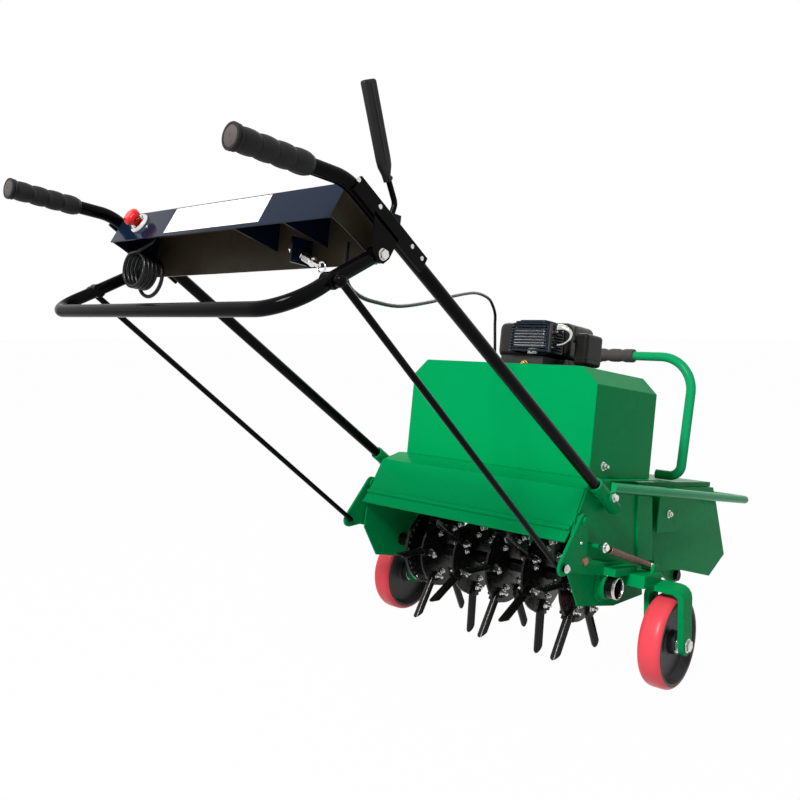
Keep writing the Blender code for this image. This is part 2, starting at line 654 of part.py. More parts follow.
def reel_and_drive():
    origin = (0, *REEL_AXIS)
    cross_rod("reel_shaft", DARK_STEEL, REEL_AXIS, -REEL_END + 15, REEL_END - 15, REEL_SHAFT_R, origin)
    for number, (x, phase) in enumerate(zip(TINE_STATIONS, TINE_PHASES), 1):
        tine_wheel(number, x, phase)
    half = CHAIN_W / 2 - 1.2
    toothed("reel_sprocket", STEEL, REEL_AXIS, BIG_TEETH, CHAIN_X - half, CHAIN_X + half,
            REEL_SHAFT_R + GAP, 28.0, 12.0)
    for side, s in (("right", 1), ("left", -1)):
        name = "bearing_" + side
        outer = SIDE_IN + PLATE + GAP
        profile = [(21.3, REEL_END), (22.5, REEL_END - 1.5), (22.5, outer + 4.0), (34.0, outer + 4.0),
                   (34.0, outer), (REEL_SHAFT_R + PIN_GAP, outer), (REEL_SHAFT_R + PIN_GAP, REEL_END - 18.0),
                   (19.8, REEL_END - 18.0), (19.8, REEL_END)]
        if s < 0:
            profile = [(r, -h) for r, h in reversed(profile)]
        turned(name, STEEL, profile, (0, *REEL_AXIS))

    big = BIG_TEETH * CHAIN_PITCH / math.tau + 4.1
    small = SMALL_TEETH * CHAIN_PITCH / math.tau + 4.1
    plate("drive_chain", DARK_STEEL, wrap(REEL_AXIS, big + 5.0, JACK_AXIS, small + 5.0, 16),
          CHAIN_X - CHAIN_W / 2, CHAIN_X + CHAIN_W / 2,
          holes=(wrap(REEL_AXIS, big + 0.8, JACK_AXIS, small + 0.8, 16),))

    jack = cross_rod("jackshaft", STEEL, JACK_AXIS, -SIDE_IN - 9.0, CHAIN_X + 28.0, JACK_R, (0, *JACK_AXIS))
    gear = toothed("jack_gear", STEEL, JACK_AXIS, SMALL_TEETH, CHAIN_X - half, CHAIN_X + half, 0, 15.0, 7.0)
    join(jack, gear, pulley("jack_pulley", JACK_AXIS, JACK_GROOVE_R))
    crank = cross_rod("engine_pulley", STEEL, CRANK_AXIS, BELT_X - 13.0, -84.0, 11.0, (0, *CRANK_AXIS))
    join(crank, pulley("crank_pulley", CRANK_AXIS, CRANK_GROOVE_R))
    lift = 1.0
    plate("drive_belt", RUBBER,
          wrap(JACK_AXIS, JACK_GROOVE_R + BELT_T, CRANK_AXIS, CRANK_GROOVE_R + BELT_T, 14),
          BELT_X - BELT_W / 2, BELT_X + BELT_W / 2,
          holes=(wrap(JACK_AXIS, JACK_GROOVE_R + lift, CRANK_AXIS, CRANK_GROOVE_R + lift, 14),))


def pulley(name, centre, groove):
    rim = groove + 7.0
    wide = BELT_W / 2 + 3.5
    slot = BELT_W / 2 + 0.6
    profile = [(rim, wide), (rim, slot), (groove, slot), (groove, -slot), (rim, -slot), (rim, -wide),
               (5.0, -wide), (5.0, wide)]
    return turned(name, STEEL, profile, (BELT_X, *centre), steps=16)


# Lift arms, rods, bail and springs
def fork(name, s):
    """Bar bent over the wheel, leaning back from the axle, its two corners rounded."""
    low_x = FORK_IN - FORK_T / 2
    high_x = FORK_OUT + FORK_T / 2
    outer = 24.0
    inner = outer - FORK_T
    top = FORK_RISE - FORK_T
    loop = [(low_x, 0.0)] + arc((low_x + outer, FORK_RISE - outer), outer, 180, 90, 4)
    loop += arc((high_x - outer, FORK_RISE - outer), outer, 90, 0, 4) + [(high_x, 0.0),
                                                                         (high_x - FORK_T, 0.0)]
    loop += arc((high_x - FORK_T - inner, top - inner), inner, 0, 90, 3)
    loop += arc((low_x + FORK_T + inner, top - inner), inner, 90, 180, 3) + [(low_x + FORK_T, 0.0)]
    lean = math.radians(FORK_LEAN)
    along = Vector((0.0, -math.sin(lean), math.cos(lean)))
    across = Vector((0.0, math.cos(lean), math.sin(lean)))
    foot = Vector((0.0, *REAR_AXLE))
    bm = bmesh.new()
    ends = []
    for side in (-1, 1):
        shift = across * side * FORK_W / 2
        ends.append([bm.verts.new(foot + Vector((s * x, 0, 0)) + along * h + shift) for x, h in loop])
    bm.faces.new(ends[0])
    bm.faces.new(list(reversed(ends[1])))
    for k in range(len(loop)):
        n = (k + 1) % len(loop)
        bm.faces.new((ends[0][k], ends[1][k], ends[1][n], ends[0][n]))
    bmesh.ops.recalc_face_normals(bm, faces=bm.faces)
    return from_bmesh(name, bm, GREEN)


def lift_arm(side, s):
    name = "lift_arm_" + side
    outline = (arc(LIFT_PIVOT, 15.0, 0, 145, 6) + arc(LIFT_PIN, 16.0, 145, 270, 6)
               + [(-288.0, 252.0), (-214.0, 240.5), (-165.0, 236.8), (-60.0, 236.8), (-60.0, 256.0),
                  (-150.0, 262.0), (-214.0, 272.0), (-238.0, 283.0)])
    body = plate(name, GREEN, outline, s * LEVER_IN, s * (LEVER_IN + LEVER_T))
    block = box(name + "_block", GREEN, (s * (LEVER_IN + LEVER_T - 1), -160.0, 237.2),
                (s * (LEVER_IN + 33), -62.0, 253.0))
    link = box(name + "_link", GREEN, (s * (LEVER_IN + 15), -95.0, 214.0),
               (s * (FORK_IN + 17.0), -12.0, 240.0))
    join(body, block, link, fork(name + "_fork", s))
    for leg_x in (FORK_IN, FORK_OUT):
        end = cross_rod(name + "_end", GREEN, REAR_AXLE, s * (leg_x - FORK_T / 2 + 0.2),
                        s * (leg_x + FORK_T / 2 - 0.2), FORK_W / 2 - 0.2, sides=16)
        join(body, end)
    lug = plate(name + "_lug", GREEN, [(-44.0, 213.0), (-26.0, 257.0), (2.0, 257.0), (4.0, 241.0),
                                       (-10.0, 216.0)],
                s * (FORK_IN - 0.4), s * (FORK_IN + 5.4))
    hook = cross_rod(name + "_hook", GREEN, SPRING_FRONT[1:], s * (SPRING_FRONT[0] - 6.0),
                     s * (FORK_IN + 3.0), 4.0, sides=8)
    join(body, lug, hook)
    pivot = cross_rod(name + "_pivot", GREEN, LIFT_PIVOT, s * (LEVER_IN - 5.0), s * (LEVER_IN + 15.0),
                      6.0 + PIN_GAP)
    pin = cross_rod(name + "_pin", GREEN, LIFT_PIN, s * (LEVER_IN - 5.0), s * (LEVER_IN + 15.0),
                    ROD_R + LINK_PLAY)
    axle = cross_rod(name + "_axle", GREEN, REAR_AXLE, s * (FORK_IN - 15.0), s * (FORK_OUT + 20.0),
                     AXLE_BOLT_R + GAP)
    cut(body, pivot, pin, axle)
    return body


def bail():
    origin = (0.0, *BAIL_PIVOT)
    points = [(BAIL_X, *BAIL_PIVOT), (BAIL_X, *BAIL_PIN), (BAIL_X, *BAIL_BACK),
              (-BAIL_X - 22.0, BAIL_BACK[0] - 4.0, BAIL_BACK[1]), (-BAIL_X, *BAIL_PIN),
              (-BAIL_X, *BAIL_PIVOT)]
    body = as_mesh(tube("bail", BLACK, rounded(points, (20.0, 64.0, 40.0, 20.0), 15.0), BAIL_R,
                        resolution=3), BLACK)
    for s in (1, -1):
        near = cross_rod("bail_eye", BLACK, BAIL_PIVOT, s * (BAIL_X - 9.4), s * (BAIL_X + 9.4), 12.0)
        far = cross_rod("bail_lug", BLACK, BAIL_PIN, s * (BAIL_X - 9.4), s * (BAIL_X + 9.4), 12.0)
        join(body, near, far)
    for s in (1, -1):
        cut(body, cross_rod("bail_bore", BLACK, BAIL_PIVOT, s * (BAIL_X - 20.0), s * (BAIL_X + 24.0),
                            5.0 + PIN_GAP),
            cross_rod("bail_pin_bore", BLACK, BAIL_PIN, s * (BAIL_X - 20.0), s * (BAIL_X + 24.0),
                      ROD_R + PIN_GAP))
    return body


def lift_rod(side, s):
    top = s * (BAIL_X + 20.0)
    points = [(s * (BAIL_X - 9.4), *BAIL_PIN), (top, *BAIL_PIN), (s * (LEVER_IN - 7.5), *LIFT_PIN),
              (s * (LEVER_IN + 11.0), *LIFT_PIN)]
    return tube("rod_" + side, BLACK, rounded(points, (6.0, 6.0), 22.0), ROD_R, (top, *BAIL_PIN))


def spring(side, s):
    rear = Vector((s * SPRING_REAR[0], *SPRING_REAR[1:]))
    front = Vector((s * SPRING_FRONT[0], *SPRING_FRONT[1:]))
    along = (front - rear).normalized()
    rear = rear + along * (4.5 + SPRING_WIRE_R + 0.6)
    front = front - along * (4.0 + SPRING_WIRE_R + 0.6)
    across = along.cross(Vector((0, 0, 1))).normalized()
    up = across.cross(along)
    lead = 9.0
    length = (front - rear).length
    pitch = (length - 2 * lead) / SPRING_CURLS
    path = [rear, rear + along * 4.4]
    count = SPRING_CURLS * 8
    for k in range(count + 1):
        turn = math.tau * k / 8
        grow = min(1.0, k / 6, (count - k) / 6)
        radius = SPRING_MEAN_R * grow
        path.append(rear + along * (lead + pitch * k / 8)
                    + (across * math.cos(turn) + up * math.sin(turn)) * radius)
    path += [front - along * 4.4, front]
    if s > 0:
        print("spring gap, mm:", round(pitch - 2 * SPRING_WIRE_R, 2))
    return tube("spring_" + side, SPRING_STEEL, path, SPRING_WIRE_R, resolution=1)


# Handle
def handle_tube(side, s):
    name = "handle_tube_" + side
    points = [(s * HANDLE_X, -163.0, handle_z(-163.0)), (s * HANDLE_X, GRIP_BEND, GRIP_Z),
              (s * grip_x(GRIP_OUTER + 4.0), GRIP_OUTER + 4.0, GRIP_Z)]
    body = as_mesh(tube(name, BLACK, rounded(points, (90.0,), 7.0), HANDLE_R, resolution=6), BLACK)
    slant = math.degrees(math.atan(HANDLE_SLOPE))
    outer = HANDLE_X + 13.5
    sleeve = box(name + "_sleeve", BLACK, (s * (outer - 5.5), -911.0 - 84.0, handle_z(-911.0) - 12.5),
                 (s * outer, -911.0 + 84.0, handle_z(-911.0) + 12.5), tilt=slant)
    ear = plate(name + "_ear", BLACK,
                [(-950.0, 796.0), (-896.0, 767.0), (-912.0, 736.0), (-922.0, 728.0), (-934.0, 728.0),
                 (-942.0, 738.0)], s * (outer - 2.8), s * outer)
    bolt = cross_rod(name + "_bolt", BLACK, BAIL_PIVOT, s * (HANDLE_X - 12.0), s * (outer + 4.5), 5.0)
    head = cross_rod(name + "_head", BLACK, BAIL_PIVOT, s * (outer - 0.5), s * (outer + 5.5), 9.0, sides=6)
    nut = cross_rod(name + "_nut", BLACK, BAIL_PIVOT, s * (HANDLE_X - 16.4), s * (HANDLE_X - 10.9), 8.0,
                    sides=6)
    return join(body, sleeve, ear, bolt, head, nut)


def grip(side, s):
    length = GRIP_INNER - GRIP_OUTER
    bore = (HANDLE_R + GAP) / math.cos(math.pi / 12)
    profile = [(0.0, 3.4), (bore, 3.4), (bore, length), (13.5, length)]
    swells = 4
    span = (length - 14.0) / swells
    for k in range(swells):
        base = length - 2.0 - span * k
        profile += [(15.8, base - span * 0.3), (15.8, base - span * 0.65), (13.9, base - span)]
    profile += [(17.0, 8.0), (17.0, 1.5), (0.0, 0.0)]
    body = turned("grip_" + side, RUBBER, profile, (s * grip_x(GRIP_OUTER), GRIP_OUTER, GRIP_Z), steps=12,
                  ring=False, axis="Y")
    body.rotation_euler.z = -s * math.atan2(grip_x(0.0) - grip_x(-100.0), 100.0)
    return body


def panel_point(across, out):
    """Point on the fascia: across it from its lower edge, and out from its face."""
    low = Vector((0.0, -1000.0, 777.0))
    high = Vector((0.0, -975.0, 829.0))
    up = (high - low).normalized()
    normal = Vector((0.0, -up.z, up.y))
    return low + up * across + normal * out


def pin_point(along):
    lean = math.radians(PIN_SLOPE)
    return Vector(PIN_AT) + Vector((math.cos(lean), 0.0, math.sin(lean))) * along


def control_panel():
    t = PANEL_T
    outline = [(-1000.0, 777.0), (-975.0, 829.0), (-903.0, 806.0), (-903.0, 732.0), (-903.0 - t, 732.0),
               (-903.0 - t, 806.0 - t * 0.7), (-975.0 + t * 0.3, 829.0 - t * 1.3),
               (-1000.0 + t * 0.9, 777.0 - t * 0.43)]
    body = plate("control_panel", BLACK, outline, -PANEL_X, PANEL_X)
    for s in (1, -1):
        cheek = plate("panel_cheek", BLACK,
                      [(-998.6, 777.8), (-974.8, 827.5), (-904.0, 805.0), (-904.0, 733.0), (-920.0, 741.0),
                       (-942.0, 753.0), (-976.0, 769.0)], s * (PANEL_X - 2.7), s * (PANEL_X - 0.2))
        join(body, cheek)
    for x in (62.0, 176.0):
        rib = plate("panel_rib", BLACK, [(-997.0, 778.6), (-974.5, 826.5), (-904.5, 804.0), (-904.5, 761.0)],
                    x - 1.25, x + 1.25)
        join(body, rib)
    bracket = box("panel_bracket", BLACK, (PIN_AT[0] - 2.0, -945.0, 734.0), (PIN_AT[0] + 2.0, -904.2, 772.0))
    lug = plate("panel_lug", BLACK, [(-912.0, 786.0), (-858.0, 788.0), (-858.0, 812.0), (-884.0, 812.0),
                                     (-912.0, 796.0)],
                LONG_LEVER_X + 8.0, LONG_LEVER_X + 12.0)
    stud = cross_rod("panel_stud", BLACK, LEVER_HINGE, LONG_LEVER_X + 9.5, LONG_LEVER_X - 6.5, 5.0)
    head = cross_rod("panel_stud_head", BLACK, LEVER_HINGE, LONG_LEVER_X - 9.0, LONG_LEVER_X - 5.0, 8.0)
    join(body, bracket, lug, stud, head)
    pin_hole = rod("panel_pin_hole", BLACK, pin_point(-12.0), pin_point(12.0), 4.0 + PIN_GAP)
    knob_hole = rod("panel_knob_hole", BLACK, panel_point(KNOB_UP, -12.0) + Vector((KNOB_X, 0, 0)),
                    panel_point(KNOB_UP, 12.0) + Vector((KNOB_X, 0, 0)), 8.0 + PIN_GAP)
    return cut(body, pin_hole, knob_hole)


def panel_fittings():
    side = Vector((KNOB_X, 0, 0))
    bezel = rod("stop_bezel", STEEL, panel_point(KNOB_UP, GAP) + side, panel_point(KNOB_UP, 7.0) + side,
                19.0, sides=20,
                end_radius=16.0)
    cut(bezel, rod("stop_bezel_bore", STEEL, panel_point(KNOB_UP, -3.0) + side,
                   panel_point(KNOB_UP, 12.0) + side,
                   8.0 + PIN_GAP))
    origin = panel_point(KNOB_UP, 20.0) + side
    stem = rod("stop_knob", RED, panel_point(KNOB_UP, -9.0) + side, panel_point(KNOB_UP, 20.0) + side, 8.0,
               origin)
    head = rod("stop_knob_head", RED, panel_point(KNOB_UP, 13.0) + side, panel_point(KNOB_UP, 27.0) + side,
               16.0,
               end_radius=13.0, sides=8)
    join(stem, head)
    turn = math.degrees(math.atan2(829.0 - 777.0, -975.0 + 1000.0)) - 90.0
    middle = panel_point(32.0, GAP + 0.3)
    box("panel_label", WHITE, (-117.0, middle.y - 0.3, middle.z - 24.0),
        (127.0, middle.y + 0.3, middle.z + 24.0),
        tilt=turn)

    pin = rod("lock_pin", STEEL, pin_point(-27.0), pin_point(46.0), 4.0, pin_point(46.0))
    collar = rod("lock_pin_collar", STEEL, pin_point(-22.0), pin_point(-18.0), 6.0, sides=10)
    seat = rod("lock_pin_seat", STEEL, pin_point(29.0), pin_point(32.0), 7.5, sides=10)
    lean = math.radians(PIN_SLOPE)
    up = Vector((-math.sin(lean), 0.0, math.cos(lean)))
    path = [pin_point(52.0 + 8.0 * math.cos(a)) + up * 8.0 * math.sin(a)
            for a in [math.tau * k / 12 for k in range(12)]]
    loop = tube("lock_pin_ring", STEEL, path, 1.6, resolution=1)
    loop.data.splines[0].use_cyclic_u = True
    join(pin, collar, seat, as_mesh(loop, STEEL))


def long_lever():
    origin = (LONG_LEVER_X, *LEVER_HINGE)
    x = LONG_LEVER_X
    body = cross_rod("long_lever", BLACK, LEVER_HINGE, x - 4.0, x + 4.0, 10.0, origin)
    bent = as_mesh(tube("long_lever_rod", BLACK,
                        rounded([(x, *LEVER_HINGE), (x, -861.0, LEVER_HINGE[1] + 30.0),
                                 (x, -890.0, LEVER_HINGE[1] + 72.0)],
                                (12.0,)), 4.6), BLACK)
    tip = (-940.0, LEVER_HINGE[1] + 183.0)
    base = (-882.0, LEVER_HINGE[1] + 58.0)
    length = math.hypot(tip[0] - base[0], tip[1] - base[1])
    slant = math.degrees(math.atan2(tip[1] - base[1], tip[0] - base[0])) - 90.0
    cy = (tip[0] + base[0]) / 2
    cz = (tip[1] + base[1]) / 2
    blade = box("long_lever_blade", RUBBER, (x - 5.5, cy - 13.0, cz - length / 2),
                (x + 5.5, cy + 13.0, cz + length / 2),
                tilt=slant)
    soft = blade.modifiers.new("soft", "BEVEL")
    soft.width = 0.004
    soft.segments = 2
    join(body, bent, blade)
    return cut(body, cross_rod("long_lever_bore", BLACK, LEVER_HINGE, x - 10, x + 10, 5.0 + PIN_GAP))


def cables():
    route = [(238.0, -925.0, 762.0), (236.0, -922.0, 735.0), (229.0, -908.0, 706.0), (211.0, -863.0, 696.0),
             (193.0, -810.0, 696.0), (159.0, -714.0, 705.0), (112.0, -582.0, 734.0), (77.0, -481.0, 761.0),
             (36.0, -365.0, 789.0), (12.0, -299.0, 799.0), (-8.0, -240.0, 800.0), (-22.0, -204.0, 794.0),
             (-36.0, -168.0, 776.0), (-45.0, -151.0, 750.0), (-50.0, -138.0, 716.0), (-56.0, -124.0, 680.0),
             (-62.0, -110.0, 634.0)]
    tube("control_cable", RUBBER, smooth(route, 30.0), 3.5, resolution=2)

    centre = COIL_AT
    turns = 5
    pitch = 7.7
    lead = smooth([(KNOB_X + 11.0, -958.0, 793.0), (KNOB_X + 9.0, -964.0, 781.0),
                   (KNOB_X - 6.0, -971.0, 769.0),
                   (centre[0] + 15.0, centre[1], centre[2] + COIL_R + 1.0)], 6.0)
    coil = []
    for k in range(turns * 24 + 1):
        turn = math.tau * (k / 24) + math.pi / 2
        slack = 8.0 * max(0.0, min(1.0, (k / 24 - (turns - 1)) * 4))
        loose = COIL_R + slack * 0.6
        coil.append((centre[0] + 0.3 * slack + loose * math.cos(turn), centre[1] + pitch * k / 24,
                     centre[2] - slack + loose * math.sin(turn)))
    last = Vector(coil[-1])
    tail = smooth([last + Vector((-7.0, 0.8, 1.0)), last + Vector((-13.0, 6.0, 8.0)),
                   (-PANEL_X + 18.2, -925.0, 777.0), (-PANEL_X + 16.2, -922.0, 792.0)], 6.0)
    path = lead + coil + tail
    print("cable coil gap, mm:", round(least_gap(coil, 3.5, 12), 2))
    tube("cable_coil", RUBBER, path, 3.5, resolution=1)


# Engine
def engine():
    body = box("engine_block", IRON, (-100.0, -112.0, DECK_Z + SHEET + GAP), (105.0, 72.0, 572.0))
    bore = box("engine_cylinder", IRON, (-56.0, -98.0, 560.0), (60.0, 22.0, 687.9))
    shelf = box("engine_shelf", IRON, (-70.0, -28.0, 650.0), (84.0, 84.0, 687.9))
    fan = cross_rod("engine_fan", IRON, (-22.0, 548.0), 100.0, 150.0, 98.0, sides=24)
    neck = box("engine_neck", IRON, (50.0, -70.0, 600.0), (140.0, 0.0, 672.4))
    gland = box("engine_gland", IRON, (-72.0, -114.0, 560.0), (-54.0, -90.0, 632.0))
    join(body, bore, shelf, fan, neck, gland)
    cut(body, cross_rod("engine_bore", IRON, CRANK_AXIS, -120.0, -80.0, 11.0 + PIN_GAP))

    tank = box("fuel_tank", PLASTIC, (-118.0, -33.0, 688.4), (84.0, 96.0, 778.0))
    soft = tank.modifiers.new("soft", "BEVEL")
    soft.width = 0.018
    soft.segments = 3

    cleaner = box("air_cleaner", PLASTIC, (117.0, -65.0, 673.0), (152.0, 11.0, 748.0))
    soft = cleaner.modifiers.new("soft", "BEVEL")
    soft.width = 0.009
    soft.segments = 3
    join(cleaner, cross_rod("choke_stud", PLASTIC, (-50.0, 732.0), 106.8, 122.0, 3.0, sides=12))

    hinge = (-50.0, 732.0)
    lever = cross_rod("choke_lever", PLASTIC, hinge, 108.6, 114.4, 6.5, (111.5, *hinge), sides=14)
    arm = box("choke_arm", PLASTIC, (109.2, -54.5, 734.0), (113.8, -45.5, 764.0))
    join(lever, arm)
    cut(lever, cross_rod("choke_bore", PLASTIC, hinge, 102.0, 122.0, 3.0 + PIN_GAP, sides=12))

    silencer = box("muffler", STEEL, (-30.0, -110.0, 704.0), (68.0, -50.0, 758.0))
    soft = silencer.modifiers.new("soft", "BEVEL")
    soft.width = 0.012
    soft.segments = 2
    stem = rod("muffler_stem", STEEL, (20.0, -80.0, 688.4), (20.0, -80.0, 720.0), 13.0)
    outlet = rod("muffler_outlet", STEEL, (60.0, -98.0, 745.0), (108.0, -114.0, 748.0), 8.0)
    bm = bmesh.new()
    bmesh.ops.create_uvsphere(bm, u_segments=12, v_segments=8, radius=15.0,
                              matrix=Matrix.Translation((108.0, -117.0, 748.0)))
    join(silencer, stem, outlet, from_bmesh("muffler_dome", bm, STEEL))

    guard = box("muffler_guard", BLACK, (-40.0, -122.0, 694.0), (80.0, -38.0, 768.0))
    soft = guard.modifiers.new("soft", "BEVEL")
    soft.width = 0.011
    soft.segments = 1
    inner = box("guard_inside", BLACK, (-37.5, -119.5, 670.0), (77.5, -40.5, 765.5))
    soft = inner.modifiers.new("soft", "BEVEL")
    soft.width = 0.0095
    soft.segments = 1
    cut(guard, inner)
    for k in range(6):
        z = 704.0 + 9.5 * k
        cut(guard, box("guard_louvre", BLACK, (-26.0, -130.0, z), (66.0, -110.0, z + 4.0)))
    cut(guard, rod("guard_port", BLACK, (60.0, -98.0, 745.0), (108.0, -114.0, 748.0), 11.0))


deck_plate()
rear_apron()
hood()
front_box()
box_lid()
ballast()
bumper()
hoop()
front_axle = cross_rod("front_axle", BLACK, FRONT_AXLE, -206.0, 206.0, FRONT_AXLE_R, (0, *FRONT_AXLE))
wheel("front", 0.0, FRONT_AXLE, FRONT_AXLE_R + GAP)
bail()
for side, s in (("right", 1), ("left", -1)):
    side_plate(side, s)
    wheel(side, s * TRACK / 2, REAR_AXLE, AXLE_BOLT_R + GAP)
    axle_bolt(side, s)
    lift_arm(side, s)
    lift_rod(side, s)
    spring(side, s)
    handle_tube(side, s)
    grip(side, s)
reel_and_drive()
control_panel()
panel_fittings()
long_lever()
cables()
engine()


# Stand the wheels on the floor and centre the length on the origin
def settle():
    tilt = Matrix.Rotation(-NOSE_DOWN, 3, "X")
    axle = tilt @ Vector((0.0, *REAR_AXLE))
    rear = tilt @ Vector((0.0, GRIP_OUTER + 1.5, GRIP_Z - 17.0))
    front = tilt @ Vector((0.0, BUMPER_FRONT + BUMPER_R, bumper_z(BUMPER_FRONT)))
    STANCE.location = Vector((0.0, -(rear.y + front.y) / 2, WHEEL_R - axle.z)) * MM


settle()
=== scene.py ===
"""Looks of the lawn aerator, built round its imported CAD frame.

Pieces are drawn in millimetres in the chassis frame of the CAD source: X to the
machine's right, Y forward, Z up from the deck. TO_WORLD stands that frame on the
floor, nose down, in metres.
"""
import math

import bmesh
import bpy
from mathutils import Matrix, Vector


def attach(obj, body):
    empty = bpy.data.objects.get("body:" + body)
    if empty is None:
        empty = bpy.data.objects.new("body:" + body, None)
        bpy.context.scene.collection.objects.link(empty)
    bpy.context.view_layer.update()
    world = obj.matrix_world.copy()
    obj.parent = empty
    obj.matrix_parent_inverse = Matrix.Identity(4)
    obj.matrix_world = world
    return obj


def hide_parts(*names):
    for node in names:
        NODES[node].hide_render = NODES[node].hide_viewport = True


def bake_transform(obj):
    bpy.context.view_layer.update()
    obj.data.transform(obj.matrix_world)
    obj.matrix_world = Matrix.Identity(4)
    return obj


MM = 0.001
TILT = math.atan2(65.7, 443.0)
STANCE = Matrix.Translation((0.0, 0.13455042, 0.00108193)) @ Matrix.Rotation(-TILT, 4, "X")
TO_WORLD = STANCE @ Matrix.Diagonal((MM, MM, MM, 1.0))
X_AXIS = Vector((1.0, 0.0, 0.0))

# Sizes and places in millimetres, most of them as in the CAD source; slopes of pins in degrees
HANDLE_R = 11.0
HANDLE_X = 296.0
HANDLE_SLOPE = -0.535
HANDLE_REF = (-828.6, 738.2)
GRIP_Z = 826.0
GRIP_INNER = -1057.0
GRIP_OUTER = -1178.0
GRIP_LOBES = 4
BAIL_R = 10.5
BAIL_X = 296.0
BAIL_PIVOT = (-926.0, 740.0)
BAIL_PIN = (-1006.0, 690.0)
BAIL_BACK = (-1073.0, 643.0)
ROD_R = 5.5
ROD_X = 316.0
LIFT_PIN = (-323.5, 263.0)
SPRING_REAR = (310.0, -210.0, 300.0)
SPRING_FRONT = (330.0, -6.0, 249.0)
SPRING_CURLS = 34
SPRING_COIL_R = 5.4
SPRING_WIRE_R = 2.05
REEL_AXIS = (-138.0, 211.0)
REEL_END = 318.0
FLANGE_X = 278.6
TINE_STATIONS = (230.0, 138.0, 46.0, -46.0, -138.0)
TINE_PHASES = (-57.0, -87.0, -57.0, -87.0, -57.0)
TINES_PER_WHEEL = 6
TINE_STEP = 360.0 / TINES_PER_WHEEL
SPOON_OUTER = 10.2
SPOON_INNER = 7.4
SPOON_TIP = 178.8
SPOON_SLANT = 17.0
TRACK = 744.8
REAR_AXLE = (0.0, 100.0)
FRONT_AXLE = (443.0, 165.7)
KNOB_X = -211.0
KNOB_UP = 33.0
LEVER_HINGE = (-870.0, 800.0)
LONG_LEVER_X = 262.5
LEVER_BEND = (-861.0, 830.0)
LEVER_BASE = (-882.0, 858.0)
LEVER_TIP = (-940.0, 983.0)
PANEL_X = 279.2
PANEL_EDGE = (0.0, -1000.0, 777.0)
PANEL_RUN = 25.0
PANEL_RISE = 52.0
PIN_AT = (142.0, -925.0, 748.0)
PIN_SLOPE = -23.0
CABLE_R = 3.4
COIL_AT = (34.2 - PANEL_X, -972.0, 733.0)
COIL_R = 30.0
COIL_TURNS = 5
COIL_PITCH = 7.7
HOOP_R = 12.0
HOOP_Y = 340.0
HOOP_FOOT = 432.7
HOOP_TOP = 739.0
BUMPER_R = 11.0
BUMPER_X = 280.0
BUMPER_REAR = -135.0
BUMPER_FRONT = 718.0
BUMPER_Z = 415.0
BUMPER_FALL = 0.0479
CHOKE_HINGE = (111.5, -50.0, 732.0)
GUARD_AT = (27.0, -80.0)
SLATS = 8
SLAT_FIRST = 707.0
SLAT_PITCH = 6.9

# Camera and studio: places in metres, lens in millimetres
CAMERA_AT = (1.0840, -1.5091, 0.7834)
CAMERA_LOOK = (-0.6610, 0.7439, -0.0981)
CAMERA_RIGHT = (0.7475, 0.6642, 0.0)
LENS = 37.42
FLOOR_SHADE = 0.62
FLOOR_GLOW = 0.985
SKY_STRENGTH = 0.2

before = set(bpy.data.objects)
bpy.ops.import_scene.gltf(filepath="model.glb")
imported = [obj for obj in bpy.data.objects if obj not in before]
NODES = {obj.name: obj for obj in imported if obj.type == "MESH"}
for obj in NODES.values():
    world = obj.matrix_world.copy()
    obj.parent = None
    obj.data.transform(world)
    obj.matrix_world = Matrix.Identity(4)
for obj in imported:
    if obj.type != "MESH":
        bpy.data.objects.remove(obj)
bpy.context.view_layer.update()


# Camera
camera = bpy.data.objects.new("camera", bpy.data.cameras.new("camera"))
bpy.context.scene.collection.objects.link(camera)
look = Vector(CAMERA_LOOK).normalized()
right = Vector(CAMERA_RIGHT).normalized()
turn = Matrix((right, right.cross(look), -look)).transposed()
camera.matrix_world = Matrix.Translation(CAMERA_AT) @ turn.to_4x4()
camera.data.lens = LENS
camera.data.sensor_width = 36.0
bpy.context.scene.camera = camera


# Materials
def shader(name, colour, rough, metallic=0.0, coat=0.0, dark=0.85, patch=5.0, spread=0.06,
           grain=900.0, depth=0.03, specular=0.5):
    """Principled surface with a broad drift of colour, uneven gloss and a fine bump."""
    mat = bpy.data.materials.new(name)
    mat.use_nodes = True
    nodes, links = mat.node_tree.nodes, mat.node_tree.links
    out = nodes["Principled BSDF"]
    out.inputs["Metallic"].default_value = metallic
    out.inputs["Coat Weight"].default_value = coat
    out.inputs["Coat Roughness"].default_value = 0.08
    out.inputs["Specular IOR Level"].default_value = specular
    where = nodes.new("ShaderNodeTexCoord")

    def noise(scale, detail):
        tex = nodes.new("ShaderNodeTexNoise")
        tex.inputs["Scale"].default_value = scale
        tex.inputs["Detail"].default_value = detail
        links.new(where.outputs["Object"], tex.inputs["Vector"])
        return tex

    drift = nodes.new("ShaderNodeValToRGB")
    drift.color_ramp.elements[0].position = 0.3
    drift.color_ramp.elements[1].position = 0.7
    drift.color_ramp.elements[0].color = (*[c * dark for c in colour], 1.0)
    drift.color_ramp.elements[1].color = (*colour, 1.0)
    links.new(noise(patch, 3.0).outputs["Fac"], drift.inputs["Fac"])
    links.new(drift.outputs["Color"], out.inputs["Base Color"])

    gloss = nodes.new("ShaderNodeMapRange")
    gloss.inputs["From Min"].default_value = 0.3
    gloss.inputs["From Max"].default_value = 0.7
    gloss.inputs["To Min"].default_value = max(0.03, rough - spread)
    gloss.inputs["To Max"].default_value = rough + spread
    links.new(noise(patch * 7.0, 2.0).outputs["Fac"], gloss.inputs["Value"])
    links.new(gloss.outputs["Result"], out.inputs["Roughness"])

    bump = nodes.new("ShaderNodeBump")
    bump.inputs["Strength"].default_value = depth
    bump.inputs["Distance"].default_value = 0.0006
    links.new(noise(grain, 2.0).outputs["Fac"], bump.inputs["Height"])
    links.new(bump.outputs["Normal"], out.inputs["Normal"])
    return mat


